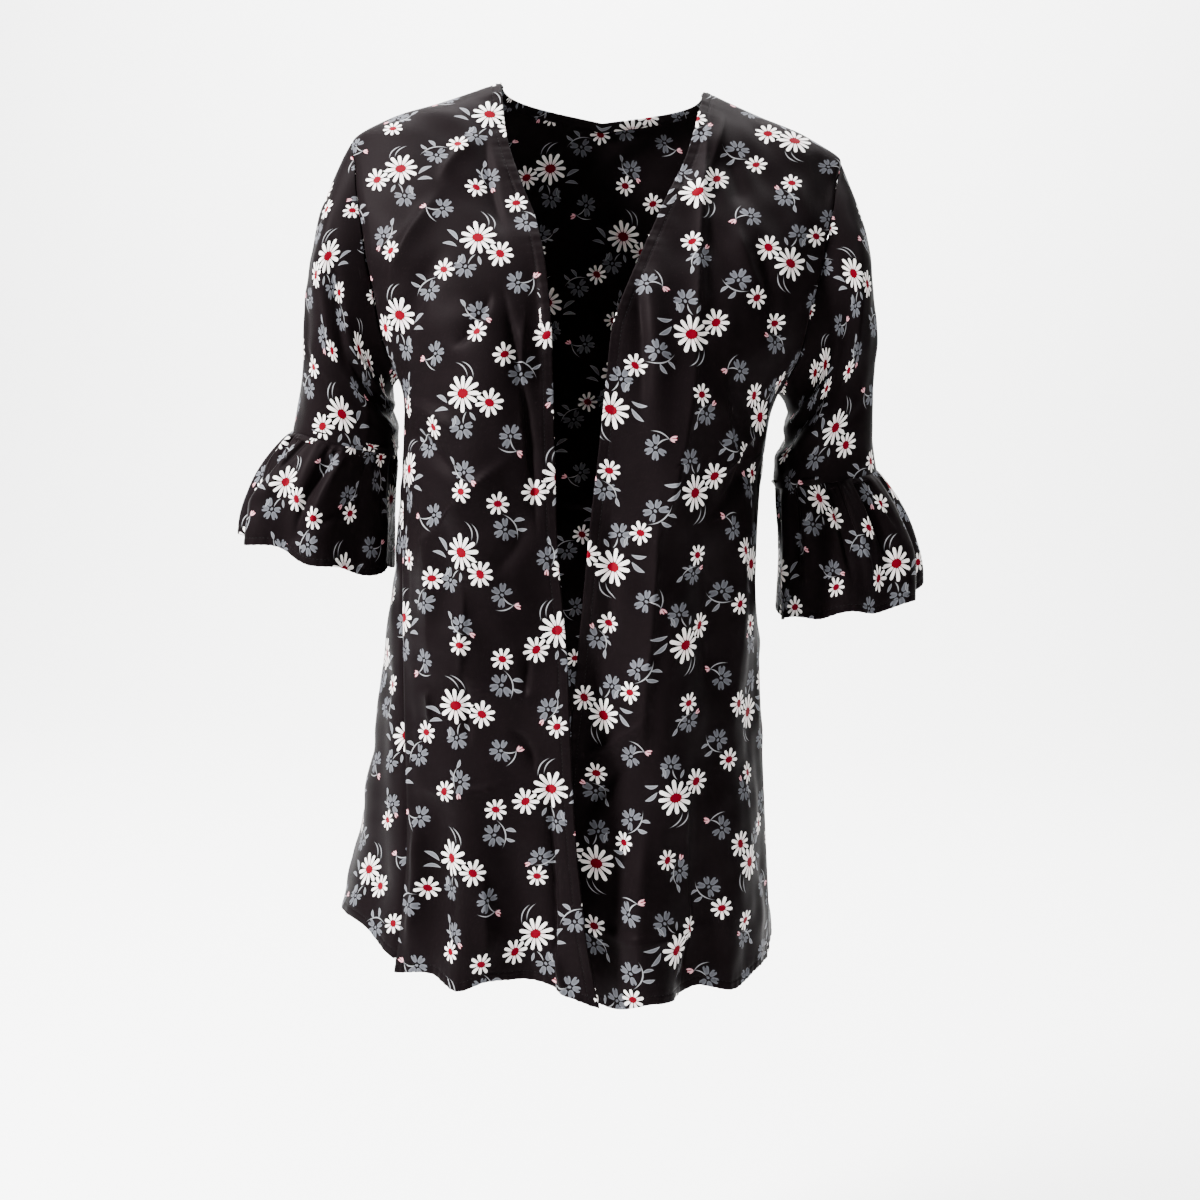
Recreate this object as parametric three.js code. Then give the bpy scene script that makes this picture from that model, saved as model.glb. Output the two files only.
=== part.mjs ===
// An open-front kimono jacket with elbow sleeves and gathered cuff ruffles, hanging as it is worn.
// Units are millimetres, +Z is up, and the wearer faces -Y with the left arm towards +X.
// The origin lies midway between the neck ends of the two shoulder seams.
import * as THREE from "three";

// Driving sizes
const CLOTH = 1.2; // thickness of every wall
const SEAM_GAP = 0.3; // between two pieces that are sewn together
const SIDE_SEAM_GAP = 0.7; // on the mean down the sides, where the rows of the two pieces differ
const SHOULDER_GAP = 0.66; // the same at the shoulder seams, where the pieces also bend
const ROUNDNESS = 2.4; // exponent of the oval that each level of the body follows
const SHOULDER_TIP_Z = -46; // outer end of the shoulder seam
const UNDERARM_Z = -228; // lowest point of the armhole
const BACK_NECK_Z = -8; // middle of the back neckline
const ARMHOLE_FRONT = 58; // how far the armhole reaches forwards
const ARMHOLE_BACK = 62; // how far the armhole reaches backwards
const ARMHOLE_EGG = 0.2; // how much fuller the armhole is below its middle
const GRAIN_DIP = 12; // how far below the underarm its row ends at the middle of the body
const LEFT = 1;
const RIGHT = -1;

// Rows under named columns
function table(names, rows) {
  return rows.map((row) => Object.fromEntries(names.map((name, i) => [name, row[i]])));
}

// Each level of the body: half widths to the wearer's right and left, and depths to front and back
const BODY = table(
  ["z", "right", "left", "front", "back"],
  [
    [4, 80, 80, 30, 66],
    [-14, 127, 125, 39, 80],
    [-28, 167, 163, 46, 89],
    [SHOULDER_TIP_Z, 195, 190, 55, 98],
    [-62, 202, 197, 63, 103],
    [-90, 209, 205, 78, 110],
    [-130, 200, 198, 99, 116],
    [-163, 185, 184, 114, 119],
    [-199, 169, 169, 125, 119],
    [UNDERARM_Z, 152, 151, 129, 116],
    [-250, 147, 144, 129.5, 113],
    [-300, 147, 140, 128, 108],
    [-363, 151, 140, 124, 105],
    [-430, 156, 147, 121, 108],
    [-500, 163, 153, 120, 114],
    [-570, 170, 160, 122, 119],
    [-640, 179, 167, 126, 123],
    [-700, 186, 171, 130, 127],
  ],
);

// The free edge of each front, from the shoulder seam to the hem
const RIGHT_EDGE = table(
  ["z", "x"],
  [
    [4, -80],
    [-40, -72],
    [-81, -57],
    [-108, -45],
    [-142, -36],
    [-185, -30],
    [-278, -24],
    [-358, -18],
    [-432, -8],
    [-554, 3],
    [-653, 18],
    [-700, 29],
  ],
);
const LEFT_EDGE = table(
  ["z", "x"],
  [
    [4, 80],
    [-49, 68],
    [-91, 51],
    [-134, 34],
    [-168, 22],
    [-190, 16],
    [-226, 14],
    [-276, 11],
    [-335, 7],
    [-432, 1],
    [-520, -3],
    [-700, -8],
  ],
);

// Where the side seams run: the right one swings to the front, the left one stays at the side
const SIDE_SEAM = {
  [RIGHT]: table(
    ["z", "x"],
    [
      [UNDERARM_Z, 152],
      [-262, 145.5],
      [-300, 143],
      [-370, 140],
      [-470, 134],
      [-600, 126],
      [-700, 133],
    ],
  ),
  [LEFT]: table(
    ["z", "x"],
    [
      [UNDERARM_Z, 151],
      [-300, 138.5],
      [-363, 138],
      [-430, 144],
      [-500, 150],
      [-640, 163],
      [-700, 166],
    ],
  ),
};

// Hem levels: on a front from its free edge (1) to its side seam (0), on the back from left to right
const HEMS = {
  [RIGHT]: table(
    ["share", "z"],
    [
      [1, -690],
      [0.88, -685.5],
      [0.74, -680.5],
      [0.5, -680],
      [0.36, -686.5],
      [0.2, -680.5],
      [0, -686],
    ],
  ),
  [LEFT]: table(
    ["share", "z"],
    [
      [1, -684],
      [0.92, -692],
      [0.86, -697],
      [0.8, -698],
      [0.66, -688.5],
      [0.52, -691],
      [0.45, -686],
      [0.33, -688.5],
      [0.12, -681.5],
      [0, -682],
    ],
  ),
};
const BACK_HEM = table(
  ["share", "z"],
  [
    [1, -679],
    [0.7, -674],
    [0.4, -683],
    [0.12, -676],
    [-0.2, -684],
    [-0.5, -674],
    [-0.84, -659],
    [-1, -676],
  ],
);

// Largest folds. Each is a soft ridge (or a trough, where height is negative) that starts at the
// level from, is full at the level full, and dies away between the levels fade and end.
const FOLD_FREE = 0.14; // share of a piece beside its side seam over which the folds fade in
const FOLD_COLUMNS = ["xTop", "xLow", "from", "full", "fade", "end", "width", "height"];
const RIGHT_FOLDS = table(FOLD_COLUMNS, [
  [-30, -18, -130, -230, -400, -500, 34, -13],
  [-82, -92, -150, -330, -800, -900, 27, 6],
  [-74, -72, -520, -690, -800, -900, 22, 9],
  [-46, -28, -500, -690, -800, -900, 21, -12],
  [8, 26, -420, -690, -800, -900, 26, 14],
  [-104, -100, -400, -690, -800, -900, 15, -6],
]);
const LEFT_FOLDS = table(FOLD_COLUMNS, [
  [18, 12, -150, -260, -400, -700, 22, -8],
  [0, 4, -360, -470, -800, -900, 34, -21],
  [88, 66, -150, -300, -520, -640, 20, 8],
  [60, 64, -540, -690, -800, -900, 24, 13],
  [96, 102, -520, -690, -800, -900, 17, -15],
  [126, 128, -480, -690, -800, -900, 16, 7],
]);
const BACK_FOLDS = table(FOLD_COLUMNS, [
  [-178, -196, -380, -690, -800, -900, 26, 7],
  [-128, -146, -300, -690, -800, -900, 20, -10],
  [-84, -100, -150, -690, -800, -900, 24, 11],
  [-40, -52, -260, -690, -800, -900, 19, -12],
  [4, 2, -150, -690, -800, -900, 24, 12],
  [48, 56, -280, -690, -800, -900, 20, -12],
  [88, 104, -150, -690, -800, -900, 24, 10],
  [130, 144, -360, -690, -800, -900, 18, -8],
]);

// Sleeves: the ring where the ruffle is sewn on, the ruffle's length, and how far the ruffle's
// inner side leans away from the body at its hem
const SLEEVES = {
  [RIGHT]: { outerX: 237, outerZ: -273, innerX: 154, innerZ: -290, drop: 88, lean: 2 },
  [LEFT]: { outerX: 234, outerZ: -285, innerX: 154, innerZ: -303, drop: 98, lean: 8 },
};
const SLEEVE_DEPTH = 54; // half the sleeve's front-to-back size at the ruffle seam
const SLEEVE_STEP = 1.1; // from the armhole's edge to the sleeve's
const UNDERARM_STEP = 1.8; // the same under the arm, where the sleeve lies outside the body
const SLEEVE_HANG = [0.2, -0.98]; // way the sleeve runs at the cuff: outwards and up
// The way the sleeve leaves the armhole, in parts that add up: all round, at the armhole's front
// and back, and under the arm
const SLEEVE_LEAVES = {
  always: { out: 0.3, forward: 0, up: -0.95 },
  frontBack: { out: 0.5, forward: 0.35, up: 0.45 },
  under: { out: 0.45, forward: 0, up: 0.3 },
};
const RUFFLE_FLARE = 37; // how far the outer side of the ruffle stands out at its hem
const RUFFLE_DEPTH = 76; // half the ruffle's front-to-back size at its hem
const RUFFLE_PUFF = 0.85; // under 1, the ruffle opens sooner below its seam
const FLUTES = 7; // soft waves of the ruffle at its hem
const FLUTE_HEIGHT = 8.5; // on the mean, at the hem
const FLUTE_DRIFT = 0.7; // how unevenly the flutes are spaced
const FLUTE_LOW = 0.4; // share of the height on the side by the body, where the ruffle is held in
const FLUTE_GAIN = 0.3; // what is added to that share towards the outer side, twice over
const GATHERS = 14; // small gathers under the ruffle seam
const GATHER_HEIGHT = 1.9;
const GATHER_START = 0.12; // share of the gathers' swell that is past at the seam
const GATHER_END = 1.4; // over 1, the gathers die away above the hem

// Colours of the cloth
const BLACK_PRINT = { color: 0x1c1b20, roughness: 0.72, metalness: 0 };

const clamp = (value, low, high) => Math.min(high, Math.max(low, value));
const lerp = (from, to, share) => from + (to - from) * share;
function smooth(from, to, value) {
  const share = clamp((value - from) / (to - from), 0, 1);
  return share * share * (3 - 2 * share);
}

// Reads a column of a table at a level: a cubic through the rows, with slopes held back at turns
function read(rows, column, level, key = "z") {
  const last = rows.length - 1;
  const step = (i) => (rows[i + 1][column] - rows[i][column]) / (rows[i + 1][key] - rows[i][key]);
  const slope = (i) => {
    if (i === 0) return step(0);
    if (i === last) return step(last - 1);
    const before = step(i - 1);
    const after = step(i);
    return before * after <= 0 ? 0 : (2 * before * after) / (before + after);
  };
  let i = 0;
  while (i < last - 1 && level < rows[i + 1][key]) i++;
  const span = rows[i + 1][key] - rows[i][key];
  const t = clamp((level - rows[i][key]) / span, 0, 1);
  return (
    rows[i][column] * (1 + 2 * t) * (1 - t) ** 2 +
    slope(i) * span * t * (1 - t) ** 2 +
    rows[i + 1][column] * t * t * (3 - 2 * t) +
    slope(i + 1) * span * t * t * (t - 1)
  );
}

// Half width and depth of the body's oval at a level, on one side, in front (turn > 0) or behind
function oval(side, turn, z) {
  return {
    width: read(BODY, side === LEFT ? "left" : "right", z),
    depth: read(BODY, turn >= 0 ? "front" : "back", z),
  };
}

// The turn round the oval, from the side (0) to the middle (a right angle), where x is as given
function turnAtX(side, front, x, z) {
  const { width } = oval(side, front, z);
  const across = clamp((side * x) / width, -1, 1);
  const out = (1 - Math.abs(across) ** ROUNDNESS) ** (1 / ROUNDNESS);
  return front * Math.atan2(out, across);
}

// The same, where the distance from the side's own plane is as given
function turnAtY(side, front, y, z) {
  const { depth } = oval(side, front, z);
  const out = clamp(y / depth, 0, 1);
  return front * Math.atan2(out, (1 - out ** ROUNDNESS) ** (1 / ROUNDNESS));
}

// Height of the folds at a place on the body. They fade out towards the side seams.
function foldHeight(folds, x, z, inside) {
  let height = 0;
  for (const fold of folds) {
    const centre = lerp(fold.xTop, fold.xLow, smooth(fold.from, fold.full, z));
    const share = smooth(fold.from, fold.full, z) * (1 - smooth(fold.fade, fold.end, z));
    height += fold.height * share * Math.exp(-(((x - centre) / fold.width) ** 2));
  }
  return height * smooth(0, FOLD_FREE, inside);
}

// A point of the cloth: the oval at that level, moved out by the folds
function bodyPoint(side, turn, z, folds, inside) {
  const { width, depth } = oval(side, turn, z);
  const c = Math.cos(turn);
  const s = Math.sin(turn);
  const reach = (Math.abs(c) ** ROUNDNESS + Math.abs(s) ** ROUNDNESS) ** (-1 / ROUNDNESS);
  const x = side * width * c * reach;
  const y = -depth * s * reach;
  const outX = (side * Math.sign(c) * Math.abs(c) ** (ROUNDNESS - 1)) / width;
  const outY = (-Math.sign(s) * Math.abs(s) ** (ROUNDNESS - 1)) / depth;
  const height = foldHeight(folds, x, z, inside) / Math.hypot(outX, outY);
  return new THREE.Vector3(x + outX * height, y + outY * height, z);
}

// The armhole at an angle from its top (0), by the front (front = 1) or the back (-1)
function armhole(angle, front) {
  const z = lerp(SHOULDER_TIP_Z, UNDERARM_Z, (1 - Math.cos(angle)) / 2);
  const reach = front > 0 ? ARMHOLE_FRONT : ARMHOLE_BACK;
  return { z, y: reach * Math.sin(angle) * (1 - ARMHOLE_EGG * Math.cos(angle)) };
}

// Squares of the grids: rows down the body and down its armhole, and squares across each piece
const ROWS = 28;
const ARMHOLE_ROWS = 12;
const ARMHOLE_SHARE = ARMHOLE_ROWS / ROWS;
const BACK_ACROSS = 32;
const FRONT_ACROSS = 18;
const SLEEVE_GRID = { round: 2 * ARMHOLE_ROWS, long: 9 };
const RUFFLE_GRID = { round: 6 * GATHERS, long: 5 };

// Half the seam gap as a turn, at the side seams, where the oval's radius is as given
const SEAM_RADIUS = 135;
const SEAM_TURN = SIDE_SEAM_GAP / 2 / SEAM_RADIUS;

// The outer boundary of a body panel: down the armhole, then down the side seam to its hem
function sideBoundary(side, front, t, hem) {
  if (t < ARMHOLE_SHARE) {
    const { y, z } = armhole((Math.PI * t) / ARMHOLE_SHARE, front);
    return { turn: turnAtY(side, front, Math.max(y, SHOULDER_GAP / 2), z), z };
  }
  const z = lerp(UNDERARM_Z, hem, (t - ARMHOLE_SHARE) / (1 - ARMHOLE_SHARE));
  const seam = turnAtX(side, 1, side * read(SIDE_SEAM[side], "x", z), z);
  return { turn: seam + front * SEAM_TURN, z };
}

// A front panel: s runs from the side to the free edge, t from the shoulder seam to the hem
function frontPoint(side, s, t) {
  const hem = (share) => read(HEMS[side], "z", share, "share");
  const edge = side === LEFT ? LEFT_EDGE : RIGHT_EDGE;
  const below = Math.max(0, (t - ARMHOLE_SHARE) / (1 - ARMHOLE_SHARE));
  const level = lerp(edge[0].z, UNDERARM_Z - GRAIN_DIP, Math.min(1, t / ARMHOLE_SHARE));
  const zFree = lerp(level, hem(1), below);
  const a = sideBoundary(side, 1, t, hem(0));
  const free = turnAtX(side, 1, read(edge, "x", zFree), zFree);
  const bend = (hem(s) - lerp(hem(0), hem(1), s)) * below ** 3;
  const z = lerp(a.z, zFree, s) + bend;
  const turn = Math.max(lerp(a.turn, free, s), turnAtY(side, 1, SHOULDER_GAP / 2, z));
  return bodyPoint(side, turn, z, side === LEFT ? LEFT_FOLDS : RIGHT_FOLDS, s);
}

// The back panel: u runs from the wearer's right (-1) to the left (1), t from the top to the hem
const SHOULDER_SHARE = 0.5625; // part of the half back's top edge that is shoulder seam
const TOP_FADE = 2.5; // how soon, down the back, the pull of the shoulder seam is gone
function backPoint(u, t) {
  const hem = (share) => read(BACK_HEM, "z", share, "share");
  const side = u < 0 ? RIGHT : LEFT;
  const s = 1 - Math.abs(u);
  const a = sideBoundary(side, -1, t, hem(side));
  const middle = -Math.PI / 2;
  const neckZ = BODY[0].z;
  const neckShare = clamp((s - SHOULDER_SHARE) / (1 - SHOULDER_SHARE), 0, 1);
  const below = Math.max(0, (t - ARMHOLE_SHARE) / (1 - ARMHOLE_SHARE));
  const bend = (hem(u) - lerp(hem(side), hem(0), s)) * below ** 3;
  const level = Math.min(1, t / ARMHOLE_SHARE);
  const eased = (level + (1 - Math.cos(Math.PI * level)) / 2) / 2;
  const zMiddle = lerp(lerp(BACK_NECK_Z, UNDERARM_Z - GRAIN_DIP, eased), hem(0), below);
  const topTurn = middle * Math.sin((neckShare * Math.PI) / 2);
  const topZ = s < SHOULDER_SHARE
    ? lerp(SHOULDER_TIP_Z, neckZ, s / SHOULDER_SHARE)
    : lerp(neckZ, BACK_NECK_Z, smooth(0, 1, neckShare));
  const liftZ = (1 - level) * (topZ - lerp(SHOULDER_TIP_Z, BACK_NECK_Z, s));
  const z = lerp(a.z, zMiddle, s) + bend + liftZ;
  const turn = lerp(a.turn, middle, s) + (1 - level) ** TOP_FADE * (topTurn - middle * s);
  const behind = below > 0 ? turn : Math.min(turn, turnAtY(side, -1, SHOULDER_GAP / 2, z));
  return bodyPoint(side, behind, z, BACK_FOLDS, s);
}

// The ring where sleeve and ruffle meet: its middle, and the way to its outer side
function cuffRing(side) {
  const size = SLEEVES[side];
  const outer = new THREE.Vector3(side * size.outerX, 0, size.outerZ);
  const inner = new THREE.Vector3(side * size.innerX, 0, size.innerZ);
  const across = outer.clone().sub(inner);
  return {
    middle: outer.clone().add(inner).multiplyScalar(0.5),
    half: across.length() / 2,
    out: across.normalize(),
  };
}

// A sleeve: round runs once about the arm from its top by the front, v from armhole to cuff ring
function sleevePoint(side, round, v) {
  const front = Math.sin(round) >= 0 ? 1 : -1;
  const angle = round <= Math.PI ? round : 2 * Math.PI - round;
  const hole = armhole(angle, front);
  const start = bodyPoint(side, turnAtY(side, front, hole.y, hole.z), hole.z, [], 0);
  const wrap = Math.abs(Math.sin(round));
  const under = ((1 - Math.cos(round)) / 2) ** 2;
  const part = SLEEVE_LEAVES;
  const leave = new THREE.Vector3(
    side * (part.always.out + part.frontBack.out * wrap + part.under.out * under),
    -part.frontBack.forward * Math.sin(round),
    part.always.up + part.frontBack.up * wrap + part.under.up * under,
  ).normalize();
  const step = leave.clone().multiplyScalar(SLEEVE_STEP);
  start.add(step.lerp(new THREE.Vector3(side * UNDERARM_STEP, 0, 0), under));
  const ring = cuffRing(side);
  const end = ring.middle.clone().addScaledVector(ring.out, ring.half * Math.cos(round));
  end.y -= SLEEVE_DEPTH * Math.sin(round);
  const long = start.distanceTo(end);
  const down = new THREE.Vector3(side * SLEEVE_HANG[0], 0, SLEEVE_HANG[1]).multiplyScalar(long);
  return new THREE.Vector3()
    .addScaledVector(start, (1 + 2 * v) * (1 - v) ** 2)
    .addScaledVector(leave, long * v * (1 - v) ** 2)
    .addScaledVector(end, v * v * (3 - 2 * v))
    .addScaledVector(down, v * v * (v - 1));
}

// A cuff ruffle: v runs from the cuff ring to the ruffle's hem
function rufflePoint(side, round, v) {
  const ring = cuffRing(side);
  const size = SLEEVES[side];
  const open = Math.sin((Math.PI / 2) * v ** RUFFLE_PUFF);
  const half = ring.half + ((RUFFLE_FLARE - size.lean) / 2) * open;
  const middle = ring.middle.clone();
  middle.x += side * ((RUFFLE_FLARE + size.lean) / 2) * open;
  middle.z -= SEAM_GAP + CLOTH / 2 + size.drop * v;
  const loose = FLUTE_LOW + FLUTE_GAIN * (1 + Math.cos(round));
  const swell = Math.sin(Math.PI * clamp(GATHER_START + v * GATHER_END, 0, 1));
  const gather = GATHER_HEIGHT * swell * Math.cos(GATHERS * round);
  const fluteTurn = FLUTES * round + FLUTE_DRIFT * Math.sin(2 * round);
  const wave = gather + FLUTE_HEIGHT * loose * smooth(0, 1, v) * Math.cos(fluteTurn);
  const point = middle.addScaledVector(ring.out, (half + wave) * Math.cos(round));
  point.y -= (lerp(SLEEVE_DEPTH, RUFFLE_DEPTH, open) + wave) * Math.sin(round);
  return point;
}

// Makes a closed wall of cloth from a surface given on a grid. A round grid closes on itself.
function wall(surface, across, along, round, flip) {
  const columns = round ? across : across + 1;
  const rows = along + 1;
  const at = (i, j) => j * columns + (round ? (i + columns) % columns : clamp(i, 0, across));
  const middle = [];
  for (let j = 0; j < rows; j++) {
    for (let i = 0; i < columns; i++) middle.push(surface(i / across, j / along));
  }
  const count = middle.length;
  const places = new Float32Array(count * 6);
  for (let j = 0; j < rows; j++) {
    for (let i = 0; i < columns; i++) {
      const side = middle[at(i + 1, j)].clone().sub(middle[at(i - 1, j)]);
      const low = middle[at(i, Math.min(j + 1, along))];
      const up = low.clone().sub(middle[at(i, Math.max(j - 1, 0))]);
      const out = side.cross(up).normalize().multiplyScalar(flip ? -CLOTH / 2 : CLOTH / 2);
      const k = at(i, j);
      middle[k].clone().add(out).toArray(places, 3 * k);
      middle[k].clone().sub(out).toArray(places, 3 * (k + count));
    }
  }
  const index = [];
  const corner = (k) => new THREE.Vector3().fromArray(places, 3 * k);
  const apart = (p, q) => corner(p).distanceTo(corner(q));
  // Two triangles for four corners, split along the shorter diagonal
  const quad = (a, b, c, d) => {
    const [p, q, r, o] = apart(a, c) <= apart(b, d) ? [a, b, c, d] : [b, c, d, a];
    index.push(...(flip ? [p, q, r, p, r, o] : [p, r, q, p, o, r]));
  };
  for (let j = 0; j < along; j++) {
    for (let i = 0; i < across; i++) {
      const [a, b, c, d] = [at(i, j), at(i, j + 1), at(i + 1, j + 1), at(i + 1, j)];
      quad(a, b, c, d);
      quad(a + count, d + count, c + count, b + count);
    }
    if (!round) {
      quad(at(0, j), at(0, j) + count, at(0, j + 1) + count, at(0, j + 1));
      quad(at(across, j), at(across, j + 1), at(across, j + 1) + count, at(across, j) + count);
    }
  }
  for (let i = 0; i < across; i++) {
    quad(at(i, 0), at(i + 1, 0), at(i + 1, 0) + count, at(i, 0) + count);
    quad(at(i, along), at(i, along) + count, at(i + 1, along) + count, at(i + 1, along));
  }
  const geometry = new THREE.BufferGeometry();
  geometry.setAttribute("position", new THREE.BufferAttribute(places, 3));
  geometry.setIndex(index);
  return geometry;
}

const garment = new THREE.Group();
function add(name, geometry) {
  const mesh = new THREE.Mesh(geometry, new THREE.MeshStandardMaterial(BLACK_PRINT));
  mesh.name = name;
  garment.add(mesh);
}

add("back", wall((u, v) => backPoint(2 * u - 1, v), BACK_ACROSS, ROWS, false, false));
for (const [side, name] of [
  [RIGHT, "right"],
  [LEFT, "left"],
]) {
  const flip = side === RIGHT;
  const front = (u, v) => frontPoint(side, u, v);
  const sleeve = (u, v) => sleevePoint(side, u * 2 * Math.PI, v);
  const ruffle = (u, v) => rufflePoint(side, u * 2 * Math.PI, v);
  add("front_" + name, wall(front, FRONT_ACROSS, ROWS, false, flip));
  add("sleeve_" + name, wall(sleeve, SLEEVE_GRID.round, SLEEVE_GRID.long, true, flip));
  add("ruffle_" + name, wall(ruffle, RUFFLE_GRID.round, RUFFLE_GRID.long, true, flip));
}

export default garment;
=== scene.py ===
import math

import bpy
import numpy as np
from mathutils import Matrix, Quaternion, Vector


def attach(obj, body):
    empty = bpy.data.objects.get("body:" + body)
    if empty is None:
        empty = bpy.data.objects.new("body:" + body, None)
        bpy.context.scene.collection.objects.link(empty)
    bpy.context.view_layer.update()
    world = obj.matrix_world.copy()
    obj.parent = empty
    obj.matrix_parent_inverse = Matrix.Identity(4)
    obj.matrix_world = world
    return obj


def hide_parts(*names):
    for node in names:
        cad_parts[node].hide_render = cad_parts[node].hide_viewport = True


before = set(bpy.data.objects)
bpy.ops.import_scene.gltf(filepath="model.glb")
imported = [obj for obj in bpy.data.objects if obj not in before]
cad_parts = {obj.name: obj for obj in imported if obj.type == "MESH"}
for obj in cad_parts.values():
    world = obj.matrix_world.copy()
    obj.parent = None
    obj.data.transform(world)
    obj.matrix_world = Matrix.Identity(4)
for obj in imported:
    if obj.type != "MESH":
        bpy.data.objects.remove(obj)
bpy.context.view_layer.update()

# Sizes are in millimetres here and turned into metres when a mesh is made.
MM = 0.001
LEFT = 1
RIGHT = -1


def table(names, rows):
    """Rows of numbers as one array for each named column."""
    columns = np.array(rows, float).T
    return dict(zip(names, columns))


def tables(names, rows_by_key):
    return {key: table(names, rows) for key, rows in rows_by_key.items()}


def sided(piece, side):
    return piece + ("_left" if side == LEFT else "_right")


def lerp(a, b, share):
    return a + (b - a) * share


def smooth(a, b, value):
    """Eased share of the way from a to b, held to 0 and 1 outside."""
    t = np.clip((value - a) / (b - a), 0, 1)
    return t * t * (3 - 2 * t)


def spread(parts):
    """Places from 0 to 1 in stretches, each given by its end and its number of steps."""
    places = [0.0]
    for end, steps in parts:
        places += list(np.linspace(places[-1], end, steps + 1)[1:])
    return np.array(places)


# The body's form, level by level, as in the solids: half widths and depths of an oval. Its
# shares are of the way across or down a panel.
CLOTH_THICK = 0.42
ROUNDNESS = 2.4
SHOULDER_TIP_Z = -46.0
UNDERARM_Z = -228.0
BACK_NECK_Z = -8.0
ARMHOLE_FRONT = 58.0
ARMHOLE_BACK = 62.0
ARMHOLE_EGG = 0.2
GRAIN_DIP = 12.0
ARMHOLE_SHARE = 12 / 28
SHOULDER_SHARE = 0.5625
TOP_FADE = 2.5
SEAM_HALF = 0.12
FOLD_FREE = 0.14
BODY = table(["z", "right", "left", "front", "back"], [
    [4, 80, 80, 30, 66],
    [-14, 127, 125, 39, 80],
    [-28, 167, 163, 46, 89],
    [SHOULDER_TIP_Z, 195, 190, 55, 98],
    [-62, 202, 197, 63, 103],
    [-90, 209, 205, 78, 110],
    [-130, 200, 198, 99, 116],
    [-163, 185, 184, 114, 119],
    [-199, 169, 169, 125, 119],
    [UNDERARM_Z, 152, 151, 129, 116],
    [-250, 147, 144, 129.5, 113],
    [-300, 147, 140, 128, 108],
    [-363, 151, 140, 124, 105],
    [-430, 156, 147, 121, 108],
    [-500, 163, 153, 120, 114],
    [-570, 170, 160, 122, 119],
    [-640, 179, 167, 126, 123],
    [-700, 186, 171, 130, 127],
])
# The free front edges and side seams, level by level, and the hems across each panel
FREE_EDGES = tables(["z", "x"], {
    RIGHT: [
        [4, -80], [-40, -72], [-81, -57], [-108, -45], [-142, -36], [-185, -30], [-278, -24],
        [-358, -18], [-432, -8], [-554, 3], [-653, 18], [-700, 29],
    ],
    LEFT: [
        [4, 80], [-49, 68], [-91, 51], [-134, 34], [-168, 22], [-190, 16], [-226, 14],
        [-276, 11], [-335, 7], [-432, 1], [-520, -3], [-700, -8],
    ],
})
SIDE_SEAMS = tables(["z", "x"], {
    RIGHT: [
        [UNDERARM_Z, 152], [-262, 145.5], [-300, 143], [-370, 140], [-470, 134], [-600, 126],
        [-700, 133],
    ],
    LEFT: [
        [UNDERARM_Z, 151], [-300, 138.5], [-363, 138], [-430, 144], [-500, 150], [-640, 163],
        [-700, 166],
    ],
})
HEMS = tables(["share", "z"], {
    RIGHT: [
        [1, -690], [0.88, -685.5], [0.74, -680.5], [0.5, -680], [0.36, -686.5], [0.2, -680.5],
        [0, -686],
    ],
    LEFT: [
        [1, -684], [0.92, -692], [0.86, -697], [0.8, -698], [0.66, -688.5], [0.52, -691],
        [0.45, -686], [0.33, -688.5], [0.12, -681.5], [0, -682],
    ],
})
BACK_HEM = table(["share", "z"], [
    [1, -679], [0.7, -674], [0.4, -683], [0.12, -676], [-0.2, -684], [-0.5, -674], [-0.84, -659],
    [-1, -676],
])

# Largest folds: soft ridges, or troughs where height is negative. Each runs from xTop at the level
# from to xLow at the level full, grows on the way, and dies away between the levels fade and end.
FOLD_COLUMNS = ["xTop", "xLow", "from", "full", "fade", "end", "width", "height"]
LARGE_FOLDS = tables(FOLD_COLUMNS, {
    "front_right": [
        [-30, -18, -130, -230, -400, -500, 34, -13],
        [-82, -92, -150, -330, -800, -900, 27, 6],
        [-74, -72, -520, -690, -800, -900, 22, 9],
        [-46, -28, -500, -690, -800, -900, 21, -12],
        [8, 26, -420, -690, -800, -900, 26, 14],
        [-104, -100, -400, -690, -800, -900, 15, -6],
    ],
    "front_left": [
        [18, 12, -150, -260, -400, -700, 22, -8],
        [0, 4, -360, -470, -800, -900, 34, -21],
        [88, 66, -150, -300, -520, -640, 20, 8],
        [60, 64, -540, -690, -800, -900, 24, 13],
        [96, 102, -520, -690, -800, -900, 17, -15],
        [126, 128, -480, -690, -800, -900, 16, 7],
    ],
    "back": [
        [-178, -196, -380, -690, -800, -900, 26, 7],
        [-128, -146, -300, -690, -800, -900, 20, -10],
        [-84, -100, -150, -690, -800, -900, 24, 11],
        [-40, -52, -260, -690, -800, -900, 19, -12],
        [4, 2, -150, -690, -800, -900, 24, 12],
        [48, 56, -280, -690, -800, -900, 20, -12],
        [88, 104, -150, -690, -800, -900, 24, 10],
        [130, 144, -360, -690, -800, -900, 18, -8],
    ],
})

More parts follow.
